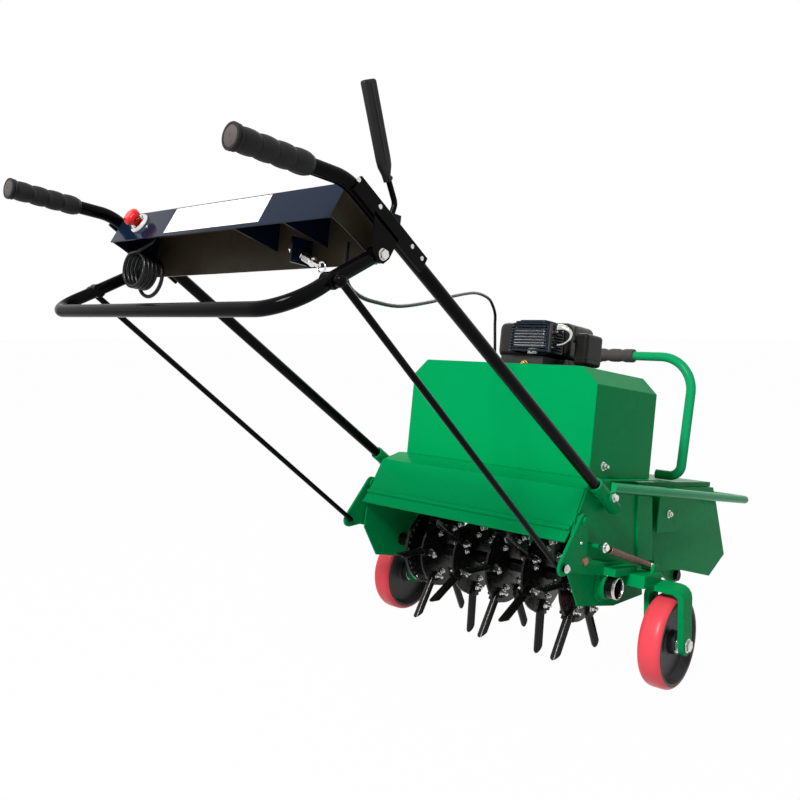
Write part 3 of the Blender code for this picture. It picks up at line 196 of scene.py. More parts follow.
GREEN = shader("green_enamel", (0.0, 0.345, 0.1), 0.26, dark=0.94, patch=2.0, spread=0.04,
               grain=260.0, depth=0.02, specular=0.018)
# Tube enamel: glossier, and its green painted lighter than the sheets' as painted light on the tubes
GREEN_PAINTED_LIGHTER = shader("tube_enamel_painted_lighter", (0.008, 0.42, 0.15), 0.16, dark=0.94, patch=2.0, spread=0.04,
                    grain=260.0, depth=0.02, specular=0.04)
BLACK = shader("black_enamel", (0.0025, 0.0026, 0.0032), 0.14, specular=0.045, grain=350.0,
               depth=0.04)
# Glossy black panel tinted navy: painted reflection of the sky in its gloss
NAVY_PAINTED_REFLECTION = shader("panel_painted_sky_reflection", (0.004, 0.011, 0.028), 0.14, specular=0.08, grain=200.0)
# Brown standing in for the ground's reflection in the panel's glossy black: painted reflection
BROWN_PAINTED_REFLECTION = shader("tray_painted_ground_reflection", (0.075, 0.058, 0.038), 0.4, specular=0.1, dark=0.7, patch=9.0,
               spread=0.1, grain=300.0, depth=0.05)
RUBBER = shader("grip_rubber", (0.012, 0.012, 0.013), 0.55, grain=1600.0, depth=0.15, specular=0.2)
SLEEVE = shader("sleeve_rubber", (0.075, 0.066, 0.064), 0.7, patch=20.0, grain=1200.0, depth=0.3,
                specular=0.3)
CABLE = shader("cable_sheath", (0.008, 0.008, 0.009), 0.3, specular=0.2, patch=30.0, depth=0.08)
TREAD = shader("red_tread", (0.95, 0.075, 0.105), 0.34, dark=0.94, patch=12.0, grain=700.0,
               depth=0.05, specular=0.3)
CORE = shader("wheel_core", (0.034, 0.034, 0.035), 0.45, patch=25.0, grain=1300.0, depth=0.22,
              specular=0.35)
ZINC = shader("zinc_plate", (0.72, 0.72, 0.69), 0.26, metallic=1.0, dark=0.8, patch=60.0,
              spread=0.1, grain=700.0)
BRASS = shader("brass", (0.68, 0.44, 0.16), 0.3, metallic=1.0, patch=60.0)
COPPER = shader("bush", (0.42, 0.17, 0.11), 0.4, metallic=0.6, patch=90.0)
TINE = shader("tine_paint", (0.006, 0.0057, 0.0055), 0.24, specular=0.2, dark=0.8, patch=22.0,
              spread=0.1, grain=420.0, depth=0.12)
IRON = shader("engine_casting", (0.02, 0.021, 0.023), 0.6, patch=30.0, grain=500.0, depth=0.35)
PLASTIC = shader("engine_cover", (0.014, 0.013, 0.012), 0.34, specular=0.25, patch=16.0,
                 grain=1500.0, depth=0.16)
FILTER = shader("filter_cover", (0.013, 0.0125, 0.012), 0.32, patch=16.0, grain=1500.0, depth=0.1,
                specular=0.1)
GUARD = shader("guard_enamel", (0.008, 0.016, 0.03), 0.34, specular=0.2, patch=30.0, grain=600.0,
               depth=0.08)
CHROME = shader("bright_steel", (0.85, 0.85, 0.84), 0.16, metallic=1.0, patch=40.0, grain=300.0)
RED = shader("red_knob", (0.72, 0.006, 0.008), 0.2, coat=0.12, specular=0.25, patch=40.0,
             depth=0.04)
WHITE = shader("label_film", (0.86, 0.87, 0.87), 0.35, dark=0.97, patch=20.0, grain=1200.0)
SPRING = shader("spring_wire", (0.2, 0.12, 0.095), 0.34, metallic=0.75, dark=0.6, patch=60.0,
                grain=800.0)
WEIGHT = shader("cast_weight", (0.06, 0.06, 0.06), 0.75, metallic=0.3, patch=20.0, grain=300.0,
                depth=0.4)
BELT = shader("belt_rubber", (0.02, 0.02, 0.02), 0.7, patch=30.0, depth=0.2)
GAP_DARK = shader("deep_shadow", (0.006, 0.006, 0.006), 0.8)


# Building blocks
def piece(name, bm, mat, body, stands_for=(), bevel=0.0, angle=38.0, segments=2):
    bmesh.ops.remove_doubles(bm, verts=bm.verts, dist=0.001)
    bmesh.ops.recalc_face_normals(bm, faces=bm.faces)
    mesh = bpy.data.meshes.new(name)
    bm.to_mesh(mesh)
    bm.free()
    mesh.transform(TO_WORLD)
    mesh.materials.append(mat)
    mesh.shade_smooth()
    mesh.set_sharp_from_angle(angle=math.radians(angle))
    obj = bpy.data.objects.new(name, mesh)
    bpy.context.scene.collection.objects.link(obj)
    if bevel:
        soft = obj.modifiers.new("soft", "BEVEL")
        soft.width = bevel * MM
        soft.segments = segments
        soft.limit_method = "ANGLE"
        soft.angle_limit = math.radians(30)
        soft.harden_normals = True
    if isinstance(body, str):
        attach(obj, body)
    else:
        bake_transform(obj)
    if stands_for:
        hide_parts(*stands_for)
    return obj


def basis(axis):
    """Rotation whose third column is the axis."""
    return Vector((0, 0, 1)).rotation_difference(Vector(axis)).to_matrix()


def sweep(bm, path, radius, sides=24, closed=False):
    """Tube along a path; radius is a number or one number per point."""
    path = [Vector(p) for p in path]
    count = len(path)
    radii = radius if isinstance(radius, (list, tuple)) else [radius] * count
    along = []
    for k in range(count):
        ahead = path[(k + 1) % count] if closed or k + 1 < count else path[k]
        back = path[k - 1] if closed or k else path[k]
        along.append((ahead - back).normalized())
    side = along[0].orthogonal().normalized()
    rings = []
    for k in range(count):
        side = (side - along[k] * side.dot(along[k])).normalized()
        up = along[k].cross(side)
        rings.append([bm.verts.new(path[k] + (side * math.cos(a) + up * math.sin(a)) * radii[k])
                      for a in [math.tau * j / sides for j in range(sides)]])
    for k in range(count if closed else count - 1):
        a, b = rings[k], rings[(k + 1) % count]
        for j in range(sides):
            bm.faces.new((a[j], a[(j + 1) % sides], b[(j + 1) % sides], b[j]))
    if not closed:
        bm.faces.new(reversed(rings[0]))
        bm.faces.new(rings[-1])
    return bm


def lathe(bm, profile, at, axis=X_AXIS, steps=64, closed=False, phase=0.0):
    """Profile of (radius, height) turned round an axis through a point."""
    lay = basis(axis)
    at = Vector(at)
    rings = []
    for r, h in profile:
        if r < 1e-6:
            rings.append([bm.verts.new(at + lay @ Vector((0, 0, h)))])
            continue
        rings.append([bm.verts.new(at + lay @ Vector((r * math.cos(a), r * math.sin(a), h)))
                      for a in [phase + math.tau * j / steps for j in range(steps)]])
    pairs = list(zip(rings, rings[1:]))
    if closed:
        pairs.append((rings[-1], rings[0]))
    for a, b in pairs:
        for j in range(steps):
            k = (j + 1) % steps
            corners = [a[j % len(a)], a[k % len(a)], b[k % len(b)], b[j % len(b)]]
            corners = [v for n, v in enumerate(corners) if v not in corners[:n]]
            if len(corners) > 2:
                bm.faces.new(corners)
    for ring in (rings[0], rings[-1]):
        if not closed and len(ring) > 1:
            bm.faces.new(ring)
    return bm


def cylinder(bm, start, end, radius, sides=32):
    start, end = Vector(start), Vector(end)
    ends = [(radius, 0.0), (radius, (end - start).length)]
    return lathe(bm, ends, start, (end - start).normalized(), sides)


def prism(bm, outline, low_x, high_x):
    """Outline in (Y, Z) from one X to another."""
    a = [bm.verts.new((low_x, y, z)) for y, z in outline]
    b = [bm.verts.new((high_x, y, z)) for y, z in outline]
    bm.faces.new(a)
    bm.faces.new(reversed(b))
    for k in range(len(a)):
        n = (k + 1) % len(a)
        bm.faces.new((a[k], b[k], b[n], a[n]))
    return bm


def slab(bm, centre, size, lay=Matrix.Identity(3)):
    bmesh.ops.create_cube(bm, size=1.0, matrix=Matrix.Translation(centre) @ lay.to_4x4()
                          @ Matrix.Diagonal((*size, 1.0)))
    return bm


def hexagon(bm, at, axis, across, height, phase=0.0):
    """Nut or bolt head with its corners chamfered."""
    r = across / math.sqrt(3)
    profile = [(r * 0.97, 0.0), (r, height * 0.08), (r, height * 0.78), (r * 0.88, height), (0.0, height)]
    return lathe(bm, profile, at, axis, 6, phase=phase)


def fastener(bm, at, axis, across=13.0, height=6.0, washer=11.0, tip=0.0, phase=0.3):
    """Washer, hexagon and, where it is a nut, the thread that stands out of it."""
    at, axis = Vector(at), Vector(axis).normalized()
    if washer:
        lathe(bm, [(washer, 0.0), (washer, 1.2), (washer - 0.6, 1.7), (across * 0.3, 1.7)], at, axis, 32)
    hexagon(bm, at + axis * 1.6, axis, across, height, phase)
    if tip:
        r = across * 0.3
        lathe(bm, [(r, 0.0), (r, height + tip - 0.8), (r - 0.8, height + tip), (0.0, height + tip)],
              at + axis * 1.6, axis, 20)
    return bm


def rounded(points, bends, fine=6.0):
    """Corner points to a path whose corners are arcs of the given radii."""
    path = [Vector(points[0])]
    for k in range(1, len(points) - 1):
        corner = Vector(points[k])
        back = (Vector(points[k - 1]) - corner).normalized()
        ahead = (Vector(points[k + 1]) - corner).normalized()
        half = back.angle(ahead) / 2
        radius = bends[k - 1]
        reach = radius / math.tan(half)
        centre = corner + (back + ahead).normalized() * (radius / math.sin(half))
        first = corner + back * reach - centre
        last = corner + ahead * reach - centre
        swing = first.angle(last)
        axis = first.cross(last).normalized()
        count = max(2, round(math.degrees(swing) / fine))
        for step in range(count + 1):
            path.append(centre + Matrix.Rotation(swing * step / count, 3, axis) @ first)
    path.append(Vector(points[-1]))
    return path


def smooth(points, spacing):
    """Even points along a smooth curve through the given points."""
    spots = [Vector(p) for p in points]
    spots = [2 * spots[0] - spots[1]] + spots + [2 * spots[-1] - spots[-2]]
    dense = []
    for k in range(1, len(spots) - 2):
        p0, p1, p2, p3 = spots[k - 1:k + 3]
        for step in range(20):
            t = step / 20
            dense.append(0.5 * (2 * p1 + (p2 - p0) * t + (2 * p0 - 5 * p1 + 4 * p2 - p3) * t ** 2
                                + (3 * p1 - p0 - 3 * p2 + p3) * t ** 3))
    dense.append(spots[-2])
    length = sum((b - a).length for a, b in zip(dense, dense[1:]))
    count = max(2, round(length / spacing))
    even = [dense[0]]
    walked = 0.0
    for a, b in zip(dense, dense[1:]):
        stretch = (b - a).length
        while len(even) < count and walked + stretch >= length * len(even) / count:
            even.append(a.lerp(b, (length * len(even) / count - walked) / stretch))
        walked += stretch
    even.append(dense[-1])
    return even


def handle_z(y):
    """Height of the straight run of a handle tube."""
    return HANDLE_REF[1] + HANDLE_SLOPE * (y - HANDLE_REF[0])


BEND_Y = HANDLE_REF[0] + (GRIP_Z - HANDLE_REF[1]) / HANDLE_SLOPE


def grip_x(y):
    """Distance of a grip from the middle plane; the grips splay out a little."""
    return HANDLE_X + 5.0 * (y - BEND_Y) / (BEND_Y - GRIP_OUTER)


def bumper_z(y):
    """Height of the front bar's side runs."""
    return BUMPER_Z - BUMPER_FALL * (y - BUMPER_REAR)


def panel_point(across, out):
    """Point on the panel's slanted top at its middle: up the slope, and out from it."""
    up = Vector((0.0, PANEL_RUN, PANEL_RISE)).normalized()
    return Vector(PANEL_EDGE) + up * across + Vector((0.0, -up.z, up.y)) * out


def mesh():
    return bmesh.new()


# CAD nodes whose shape is kept: soft edges and a finished surface
def dress(names, mat, width=0.8):
    for name in names:
        obj = NODES[name]
        if "custom_normal" in obj.data.attributes:
            obj.data.attributes.remove(obj.data.attributes["custom_normal"])
        obj.data.materials.clear()
        obj.data.materials.append(mat)
        obj.data.shade_smooth()
        weld = obj.modifiers.new("weld", "WELD")
        weld.merge_threshold = 0.00002
        if width:
            soft = obj.modifiers.new("soft", "BEVEL")
            soft.width = width * MM
            soft.segments = 2
            soft.limit_method = "ANGLE"
            soft.angle_limit = math.radians(28)
            soft.harden_normals = True
        split = obj.modifiers.new("split", "EDGE_SPLIT")
        split.split_angle = math.radians(35)


dress(["hood", "rear_apron", "deck_plate", "side_plate_right", "side_plate_left", "front_box", "box_lid",
       "lift_arm_right", "lift_arm_left"], GREEN)
dress(["control_panel"], NAVY_PAINTED_REFLECTION, 0.6)
# Painted reflection of the brown ground on the panel's inside: front wall, underside of the top, and cheeks
tray = NODES["control_panel"].data
tray.materials.append(BROWN_PAINTED_REFLECTION)
for poly in tray.polygons:
    spot = TO_WORLD.inverted() @ poly.center
    inside = -907.0 < spot.y < -904.5 and poly.normal.y < -0.8
    under = spot.z > 770.0 and -970.0 < spot.y < -905.0 and poly.normal.z < -0.8
    flank = spot.x > PANEL_X - 0.4 or abs(spot.x - PANEL_X + 2.7) < 0.4
    if inside or under or (flank and spot.y > -996.0):
        poly.material_index = 1
dress(["front_axle"], BLACK, 0.6)
dress(["ballast_block"], WEIGHT)
dress(["engine_block"], IRON, 1.5)
dress(["reel_shaft"], TINE, 0.5)
dress(["drive_chain"], TINE, 0.0)
dress(["drive_belt"], BELT, 0.8)
dress(["jackshaft", "engine_pulley"], ZINC, 0.4)
dress(["reel_sprocket"], TINE, 0.4)


# Wheels
def wheel(tag, x, axle, body):
    at = (x, *axle)
    half = [(91.2, 24.7), (92.4, 24.6), (94.4, 23.4), (96.4, 21.4), (98.2, 18.6), (99.3, 15.6), (99.8, 12.4),
            (100.0, 7.0)]
    tyre = mesh()
    lathe(tyre, half + [(r, -h) for r, h in reversed(half)], at, steps=96, closed=True)
    piece("tyre_" + tag, tyre, TREAD, body, ["wheel_tyre_" + tag], angle=60)

    core = mesh()
    side = [(90.9, 24.2), (89.6, 25.0), (86.6, 25.0), (85.2, 23.8), (80.6, 9.0), (77.6, 5.6), (29.0, 5.6),
            (25.5, 8.0), (24.5, 23.0), (23.5, 24.2), (20.5, 24.2)]
    lathe(core, side + [(r, -h) for r, h in reversed(side)], at, steps=72, closed=True)
    piece("core_" + tag, core, CORE, body, ["wheel_core_" + tag], angle=32)

    races = mesh()
    for s in (1, -1):
        lathe(races, [(20.4, 24.0), (19.6, 24.6), (16.6, 24.6), (16.2, 23.0)], at, (s, 0, 0), 48)
        lathe(races, [(13.4, 23.0), (13.0, 24.8), (9.4, 24.8), (9.0, 23.0)], at, (s, 0, 0), 48)
    piece("races_" + tag, races, ZINC, body)
    seals = mesh()
    for s in (1, -1):
        lathe(seals, [(20.4, 22.0), (16.4, 23.4), (13.2, 23.4), (9.0, 22.0)], at, (s, 0, 0), 48)
    piece("seals_" + tag, seals, GAP_DARK, body)


def axle_bolt(side, s):
    bm = mesh()
    cylinder(bm, (s * 322.0, *REAR_AXLE), (s * 423.5, *REAR_AXLE), 8.0)
    for x, way in ((416.4, 1), (328.6, -1)):
        fastener(bm, (s * x, *REAR_AXLE), (s * way, 0, 0), 22.0, 5.4, 15.0, phase=0.2)
    for low, high in ((341.4, 346.8), (398.0, 403.6)):
        cylinder(bm, (s * low, *REAR_AXLE), (s * high, *REAR_AXLE), 12.5, 40)
    piece("axle_bolt_set_" + side, bm, ZINC, "lift_" + side, ["axle_bolt_" + side])


# Reel
def spoon(bm, x, phase):
    """Half tube along a radius, its tip cut on the slant; the mouth faces the way it turns."""
    a0 = math.radians(phase)
    out = Vector((0.0, math.cos(a0), math.sin(a0)))
    back = Vector((0.0, math.sin(a0), -math.cos(a0)))
    wide = out.cross(back)
    centre = Vector((x, *REEL_AXIS))
    arcs = []
    for radius in (SPOON_OUTER, SPOON_INNER):
        row = []
        for k in range(13):
            a = math.pi * (k / 12 - 0.5)
            rim = back * math.cos(a) * radius + wide * math.sin(a) * radius
            tip = SPOON_TIP - SPOON_SLANT * (1.0 - math.cos(a))
            row.append([bm.verts.new(centre + rim + out * h) for h in (60.0, 100.0, 135.0, tip)])
        arcs.append(row)
    outer, inner = arcs
    for k in range(12):
        for h in range(3):
            bm.faces.new((outer[k][h], outer[k + 1][h], outer[k + 1][h + 1], outer[k][h + 1]))
            bm.faces.new((inner[k][h], inner[k][h + 1], inner[k + 1][h + 1], inner[k + 1][h]))
        bm.faces.new((outer[k][3], outer[k + 1][3], inner[k + 1][3], inner[k][3]))
        bm.faces.new((outer[k][0], inner[k][0], inner[k + 1][0], outer[k + 1][0]))
    for k in (0, 12):
        for h in range(3):
            bm.faces.new((outer[k][h], outer[k][h + 1], inner[k][h + 1], inner[k][h]))


def tine_wheel(number, x, phase):
    """Pair of pressed discs with clamped spoon tines."""
    name = "tines_%d" % number
    discs = mesh()
    profile = [(88.0, 2.6), (88.0, -2.6), (70.0, -6.0), (40.0, -11.0), (27.0, -14.0), (14.4, -14.0),
               (14.4, 14.0), (27.0, 14.0), (40.0, 11.0), (70.0, 6.0)]
    lathe(discs, profile, (x, *REEL_AXIS), steps=72, closed=True)
    for k in range(TINES_PER_WHEEL):
        a = math.radians(phase + TINE_STEP * k)
        lay = Matrix.Rotation(a, 3, "X")
        middle = Vector((x, *REEL_AXIS)) + lay @ Vector((0.0, 76.0, -2.0))
        slab(discs, middle, (25.0, 30.0, 14.0), lay)
        sweep(discs, [middle + Vector((h, 0.0, 0.0)) for h in (-21.0, 21.0)], 5.0, 16)
    piece(name + "_hub", discs, TINE, "reel", ["tine_wheel_%d" % number], bevel=0.8)
    tines = mesh()
    for k in range(TINES_PER_WHEEL):
        spoon(tines, x, phase + TINE_STEP * k)
    piece(name, tines, TINE, "reel", bevel=0.3)
    bolts = mesh()
    for k in range(TINES_PER_WHEEL):
        lay = Matrix.Rotation(math.radians(phase + TINE_STEP * k), 3, "X")
        spot = Vector((x, *REEL_AXIS)) + lay @ Vector((0.0, 70.0, -2.0))
        fastener(bolts, spot + X_AXIS * 12.4, (1, 0, 0), 13.0, 6.0, 9.0, 7.0)
        fastener(bolts, spot - X_AXIS * 12.4, (-1, 0, 0), 13.0, 6.0, 9.0, 3.0)
        low = Vector((x, *REEL_AXIS)) + lay @ Vector((0.0, 52.0, 9.0))
        fastener(bolts, low + X_AXIS * 9.6, (1, 0, 0), 9.0, 4.0, 6.5, 3.0)
        fastener(bolts, low - X_AXIS * 9.6, (-1, 0, 0), 9.0, 4.0, 6.5, 3.0)
    piece(name + "_bolts", bolts, ZINC, "reel")


def bearing(side, s):
    at, axis = (0, *REEL_AXIS), (s, 0, 0)
    ring = mesh()
    lathe(ring, [(22.6, REEL_END - 6.0), (22.6, REEL_END - 1.0), (21.8, REEL_END), (20.6, REEL_END),
                 (20.0, REEL_END - 1.2), (20.0, REEL_END - 6.0)], at, axis, 56, closed=True)
    body = mesh()
    lathe(body, [(22.3, FLANGE_X), (22.3, REEL_END - 3.0), (20.2, REEL_END - 3.0),
                 (19.8, REEL_END - 20.0), (15.0, REEL_END - 21.0), (14.4, FLANGE_X)],
          at, axis, 56, closed=True)
    flange = mesh()
    lathe(flange, [(33.6, FLANGE_X), (33.6, 281.4), (32.6, 282.2), (27.0, 282.8), (25.4, 295.0),
                   (22.9, 295.8), (22.5, FLANGE_X)], at, axis, 56, closed=True)
    slab(flange, (s * 284.0, REEL_AXIS[0] - 8.0, REEL_AXIS[1] + 28.0), (10.0, 26.0, 16.0))
    piece("bearing_ring_" + side, ring, ZINC, "chassis", ["bearing_" + side])
    piece("bearing_body_" + side, body, TINE, "chassis")
    piece("bearing_flange_" + side, flange, GREEN, "chassis", bevel=0.8)
    bolts = mesh()
    fastener(bolts, (s * 289.0, REEL_AXIS[0] - 8.0, REEL_AXIS[1] + 28.0), (s, 0, 0), 12.0, 6.0, 8.0, 4.0)
    piece("bearing_bolts_" + side, bolts, ZINC, "chassis")
    cap = mesh()
    lathe(cap, [(19.6, 288.0), (18.0, 298.0), (9.0, 300.5), (0.0, 300.5)], (0, *REEL_AXIS), (s, 0, 0), 40)
    piece("shaft_end_" + side, cap, GAP_DARK, "reel")


# Lift linkage
def lift_fittings(side, s):
    body = "lift_" + side
    bright = mesh()
    lathe(bright, [(3.2, 0.0), (2.6, 1.6), (0.0, 2.4)], (s * 291.0, -265.0, 308.0), (s, 0, 0), 20)
    fastener(bright, (s * 297.4, *LIFT_PIN), (s, 0, 0), 11.0, 3.0, 8.5, 2.0)
    piece("lift_bright_" + side, bright, ZINC, body)
    bush = mesh()
    lathe(bush, [(8.0, 0.0), (8.0, 5.0), (6.8, 6.0), (0.0, 6.0)], (s * 291.0, -247.0, 271.0), (s, 0, 0), 32)
    piece("lift_bush_" + side, bush, COPPER, body)


def spring(side, s):
    rear = Vector((s * SPRING_REAR[0], *SPRING_REAR[1:]))
    front = Vector((s * SPRING_FRONT[0], *SPRING_FRONT[1:]))
    along = (front - rear).normalized()
    across = along.cross(Vector((0, 0, 1))).normalized()
    up = across.cross(along)
    start, end = rear + along * 7.6, front - along * 7.0
    lead = 16.0
    length = (end - start).length - 2 * lead
    path = [start, start + along * 8.0]
    count = SPRING_CURLS * 16
    for k in range(count + 1):
        a = math.tau * k / 16
        grow = min(1.0, k / 12, (count - k) / 12)
        path.append(start + along * (lead + length * k / count)
                    + (across * math.cos(a) + up * math.sin(a)) * SPRING_COIL_R * grow)
    path += [end - along * 8.0, end]
    bm = mesh()
    sweep(bm, path, SPRING_WIRE_R, 8)
    stretch = ("chassis", "lift_" + side,
               TO_WORLD @ (start + along * 8.0), TO_WORLD @ (end - along * 8.0))
    piece("spring_wire_" + side, bm, SPRING, stretch, ["spring_" + side], angle=80)
    for part, spot, way, body in (("rear", rear, 1.0, "chassis"), ("front", front, -1.0, "lift_" + side)):
        cup = mesh()
        lathe(cup, [(5.0, 0.0), (6.6, 2.0), (6.6, 11.0), (5.2, 13.0), (2.2, 14.0)], spot + along * way * 4.4,
              along * way, 24)
        piece("spring_cup_%s_%s" % (part, side), cup, CHROME, body)
    hooks = mesh()
    lathe(hooks, [(10.4, 0.0), (10.4, 1.6), (7.4, 2.0), (7.2, 6.4), (6.0, 7.4), (0.0, 7.4)],
          rear + X_AXIS * s * 3.6, (s, 0, 0), 28)
    cylinder(hooks, rear - X_AXIS * s * 8.0, rear + X_AXIS * s * 4.0, 4.8, 20)
    piece("spring_pin_" + side, hooks, CHROME, "chassis")


def tube_end(bm, at, axis, radius, width):
    """Cross boss with rounded rims."""
    lathe(bm, [(radius - 1.2, -width), (radius, -width + 1.2), (radius, width - 1.2), (radius - 1.2, width)],
          at, axis, 40)


def bail():
    """Bent tube across both sides, with its hinge and rod bosses."""
    corners = [(BAIL_X, *BAIL_PIVOT), (BAIL_X, *BAIL_PIN), (BAIL_X, *BAIL_BACK),
               (-BAIL_X - 22.0, BAIL_BACK[0] - 4.0, BAIL_BACK[1]), (-BAIL_X, *BAIL_PIN),
               (-BAIL_X, *BAIL_PIVOT)]
    bm = mesh()
    sweep(bm, rounded(corners, (20.0, 64.0, 40.0, 20.0), 5.0), BAIL_R, 32)
    for s in (1, -1):
        tube_end(bm, (s * BAIL_X, *BAIL_PIVOT), X_AXIS, 12.0, 9.3)
        tube_end(bm, (s * BAIL_X, *BAIL_PIN), X_AXIS, 12.0, 9.3)
    piece("bail_tube", bm, BLACK, "bail", ["bail"])
    bm = mesh()
    for s in (1, -1):
        lathe(bm, [(11.0, 9.6), (11.0, 11.0), (8.0, 12.6), (3.0, 12.8), (0.0, 12.8)],
              (s * BAIL_X, *BAIL_PIN), (s, 0, 0), 32)
    piece("bail_washers", bm, BLACK, "bail")


def lift_rod(side, s):
    points = [(s * 286.6, *BAIL_PIN), (s * ROD_X, *BAIL_PIN), (s * 277.5, *LIFT_PIN), (s * 296.0, *LIFT_PIN)]
    bm = mesh()
    sweep(bm, rounded(points, (6.0, 6.0), 9.0), ROD_R, 20)
    piece("rod_bar_" + side, bm, BLACK, "rod_" + side, ["rod_" + side])
    ends = mesh()
    lathe(ends, [(0.0, -9.0), (4.6, -8.2), (7.8, -5.2), (9.2, 0.0), (7.8, 5.2), (4.6, 8.2), (0.0, 9.0)],
          (s * (ROD_X + 1.0), BAIL_PIN[0] - 1.0, BAIL_PIN[1] - 1.0), X_AXIS, 28)
    piece("rod_end_" + side, ends, BLACK, "rod_" + side)


# Handle
def handle(side, s):
    points = [(s * HANDLE_X, -163.0, handle_z(-163.0)), (s * HANDLE_X, BEND_Y, GRIP_Z),
              (s * grip_x(GRIP_OUTER + 4.0), GRIP_OUTER + 4.0, GRIP_Z)]
    bm = mesh()
    sweep(bm, rounded(points, (90.0,), 2.5), HANDLE_R, 40)
    slant = Matrix.Rotation(math.atan(HANDLE_SLOPE), 3, "X")
    slab(bm, (s * 306.75, -911.0, handle_z(-911.0)), (5.5, 168.0, 25.0), slant)
    ear = [(-950.0, 796.0), (-896.0, 767.0), (-912.0, 736.0), (-922.0, 728.0), (-934.0, 728.0),
           (-942.0, 738.0)]
    prism(bm, ear, s * 306.7, s * 309.5)
    cylinder(bm, (s * 285.0, *BAIL_PIVOT), (s * 309.0, *BAIL_PIVOT), 5.0, 24)
    piece("handle_" + side, bm, BLACK, "chassis", ["handle_tube_" + side], bevel=0.7)
    bolts = mesh()
    fastener(bolts, (s * 309.5, *BAIL_PIVOT), (s, 0, 0), 13.0, 4.6, 8.4)
    fastener(bolts, (s * 285.1, *BAIL_PIVOT), (-s, 0, 0), 13.0, 4.6, 0.0)
    for y in (-985.0, -940.0, -868.0, -845.0):
        spot = Vector((s * 309.5, y, handle_z(y) + 4.0))
        lathe(bolts, [(3.6, 0.0), (3.4, 1.2), (2.4, 2.0), (0.0, 2.2)], spot, (s, 0, 0), 20)
    piece("handle_bolts_" + side, bolts, ZINC, "chassis")

    start = Vector((s * grip_x(GRIP_OUTER), GRIP_OUTER, GRIP_Z))
    end = Vector((s * grip_x(GRIP_INNER), GRIP_INNER, GRIP_Z))
    along = (end - start).normalized()
    length = (end - start).length
    profile = [(0.0, 1.2), (13.2, 1.2), (13.6, 0.2), (16.4, 0.4), (17.0, 1.4), (17.0, 4.0), (16.0, 4.8),
               (15.4, 5.6), (16.4, 6.4), (16.6, 8.6), (15.6, 9.8)]
    span = (length - 14.0) / GRIP_LOBES
    for k in range(GRIP_LOBES):
        for step in range(1, 25):
            t = step / 24
            swell = math.sin(math.pi * t) ** 0.55
            fine = 0.22 * (step % 2) if 0.12 < t < 0.88 else 0.0
            profile.append((13.7 + 2.1 * swell + fine, 10.4 + span * (k + t)))
    profile += [(13.2, length - 1.0), (12.4, length), (HANDLE_R + 0.35, length)]
    bm = mesh()
    lathe(bm, profile, start, along, 56)
    piece("grip_sleeve_" + side, bm, RUBBER, "chassis", ["grip_" + side], angle=50)
    cap = mesh()
    lathe(cap, [(13.0, -0.2), (12.6, -0.5), (2.4, -0.5), (2.0, 0.3), (0.0, 0.3)],
          start + along * 0.9, along, 40)
    piece("grip_cap_" + side, cap, SLEEVE, "chassis")


def long_lever():
    """Thin rod with a flat rubber-covered blade."""
    hinge = Vector((LONG_LEVER_X, *LEVER_HINGE))
    tip = Vector((LONG_LEVER_X, *LEVER_TIP))
    base = Vector((LONG_LEVER_X, *LEVER_BASE))
    up = (tip - base).normalized()
    lay = Matrix((X_AXIS, up.cross(X_AXIS), up)).transposed()
    bm = mesh()
    tube_end(bm, hinge, X_AXIS, 10.0, 4.0)
    sweep(bm, rounded([hinge, (LONG_LEVER_X, *LEVER_BEND), base + up * 24.0], (14.0,), 6.0), 4.4, 20)
    piece("lever_rod", bm, BLACK, "long_lever", ["long_lever"])
    blade = mesh()
    rings = []
    for h, wide, thick in ((-2.0, 4.6, 4.6), (8.0, 6.0, 5.0), (20.0, 11.6, 5.4), (30.0, 12.6, 5.6),
                           (134.0, 13.0, 5.6), (136.5, 12.4, 5.2), (138.0, 10.0, 4.0)):
        ring = []
        for k in range(24):
            a = math.tau * k / 24
            c, d = math.cos(a), math.sin(a)
            flat = Vector((math.copysign(abs(c) ** 0.45, c) * thick,
                           math.copysign(abs(d) ** 0.45, d) * wide, h))
            ring.append(blade.verts.new(base + lay @ flat))
        rings.append(ring)
    for a, b in zip(rings, rings[1:]):
        for k in range(24):
            blade.faces.new((a[k], a[(k + 1) % 24], b[(k + 1) % 24], b[k]))
    blade.faces.new(reversed(rings[0]))
    blade.faces.new(rings[-1])
    piece("lever_blade", blade, RUBBER, "long_lever", angle=45)
    bm = mesh()
    seam = [base + lay @ Vector((t, 0.0, h)) for t, h in ((6.0, 22.0), (6.3, 60.0), (6.3, 132.0))]
    sweep(bm, seam, 0.9, 8)
    fastener(bm, base + lay @ Vector((5.0, 0.0, 3.0)), (1, 0, 0), 6.0, 2.4, 0.0)
    piece("lever_seam", bm, GAP_DARK, "long_lever")


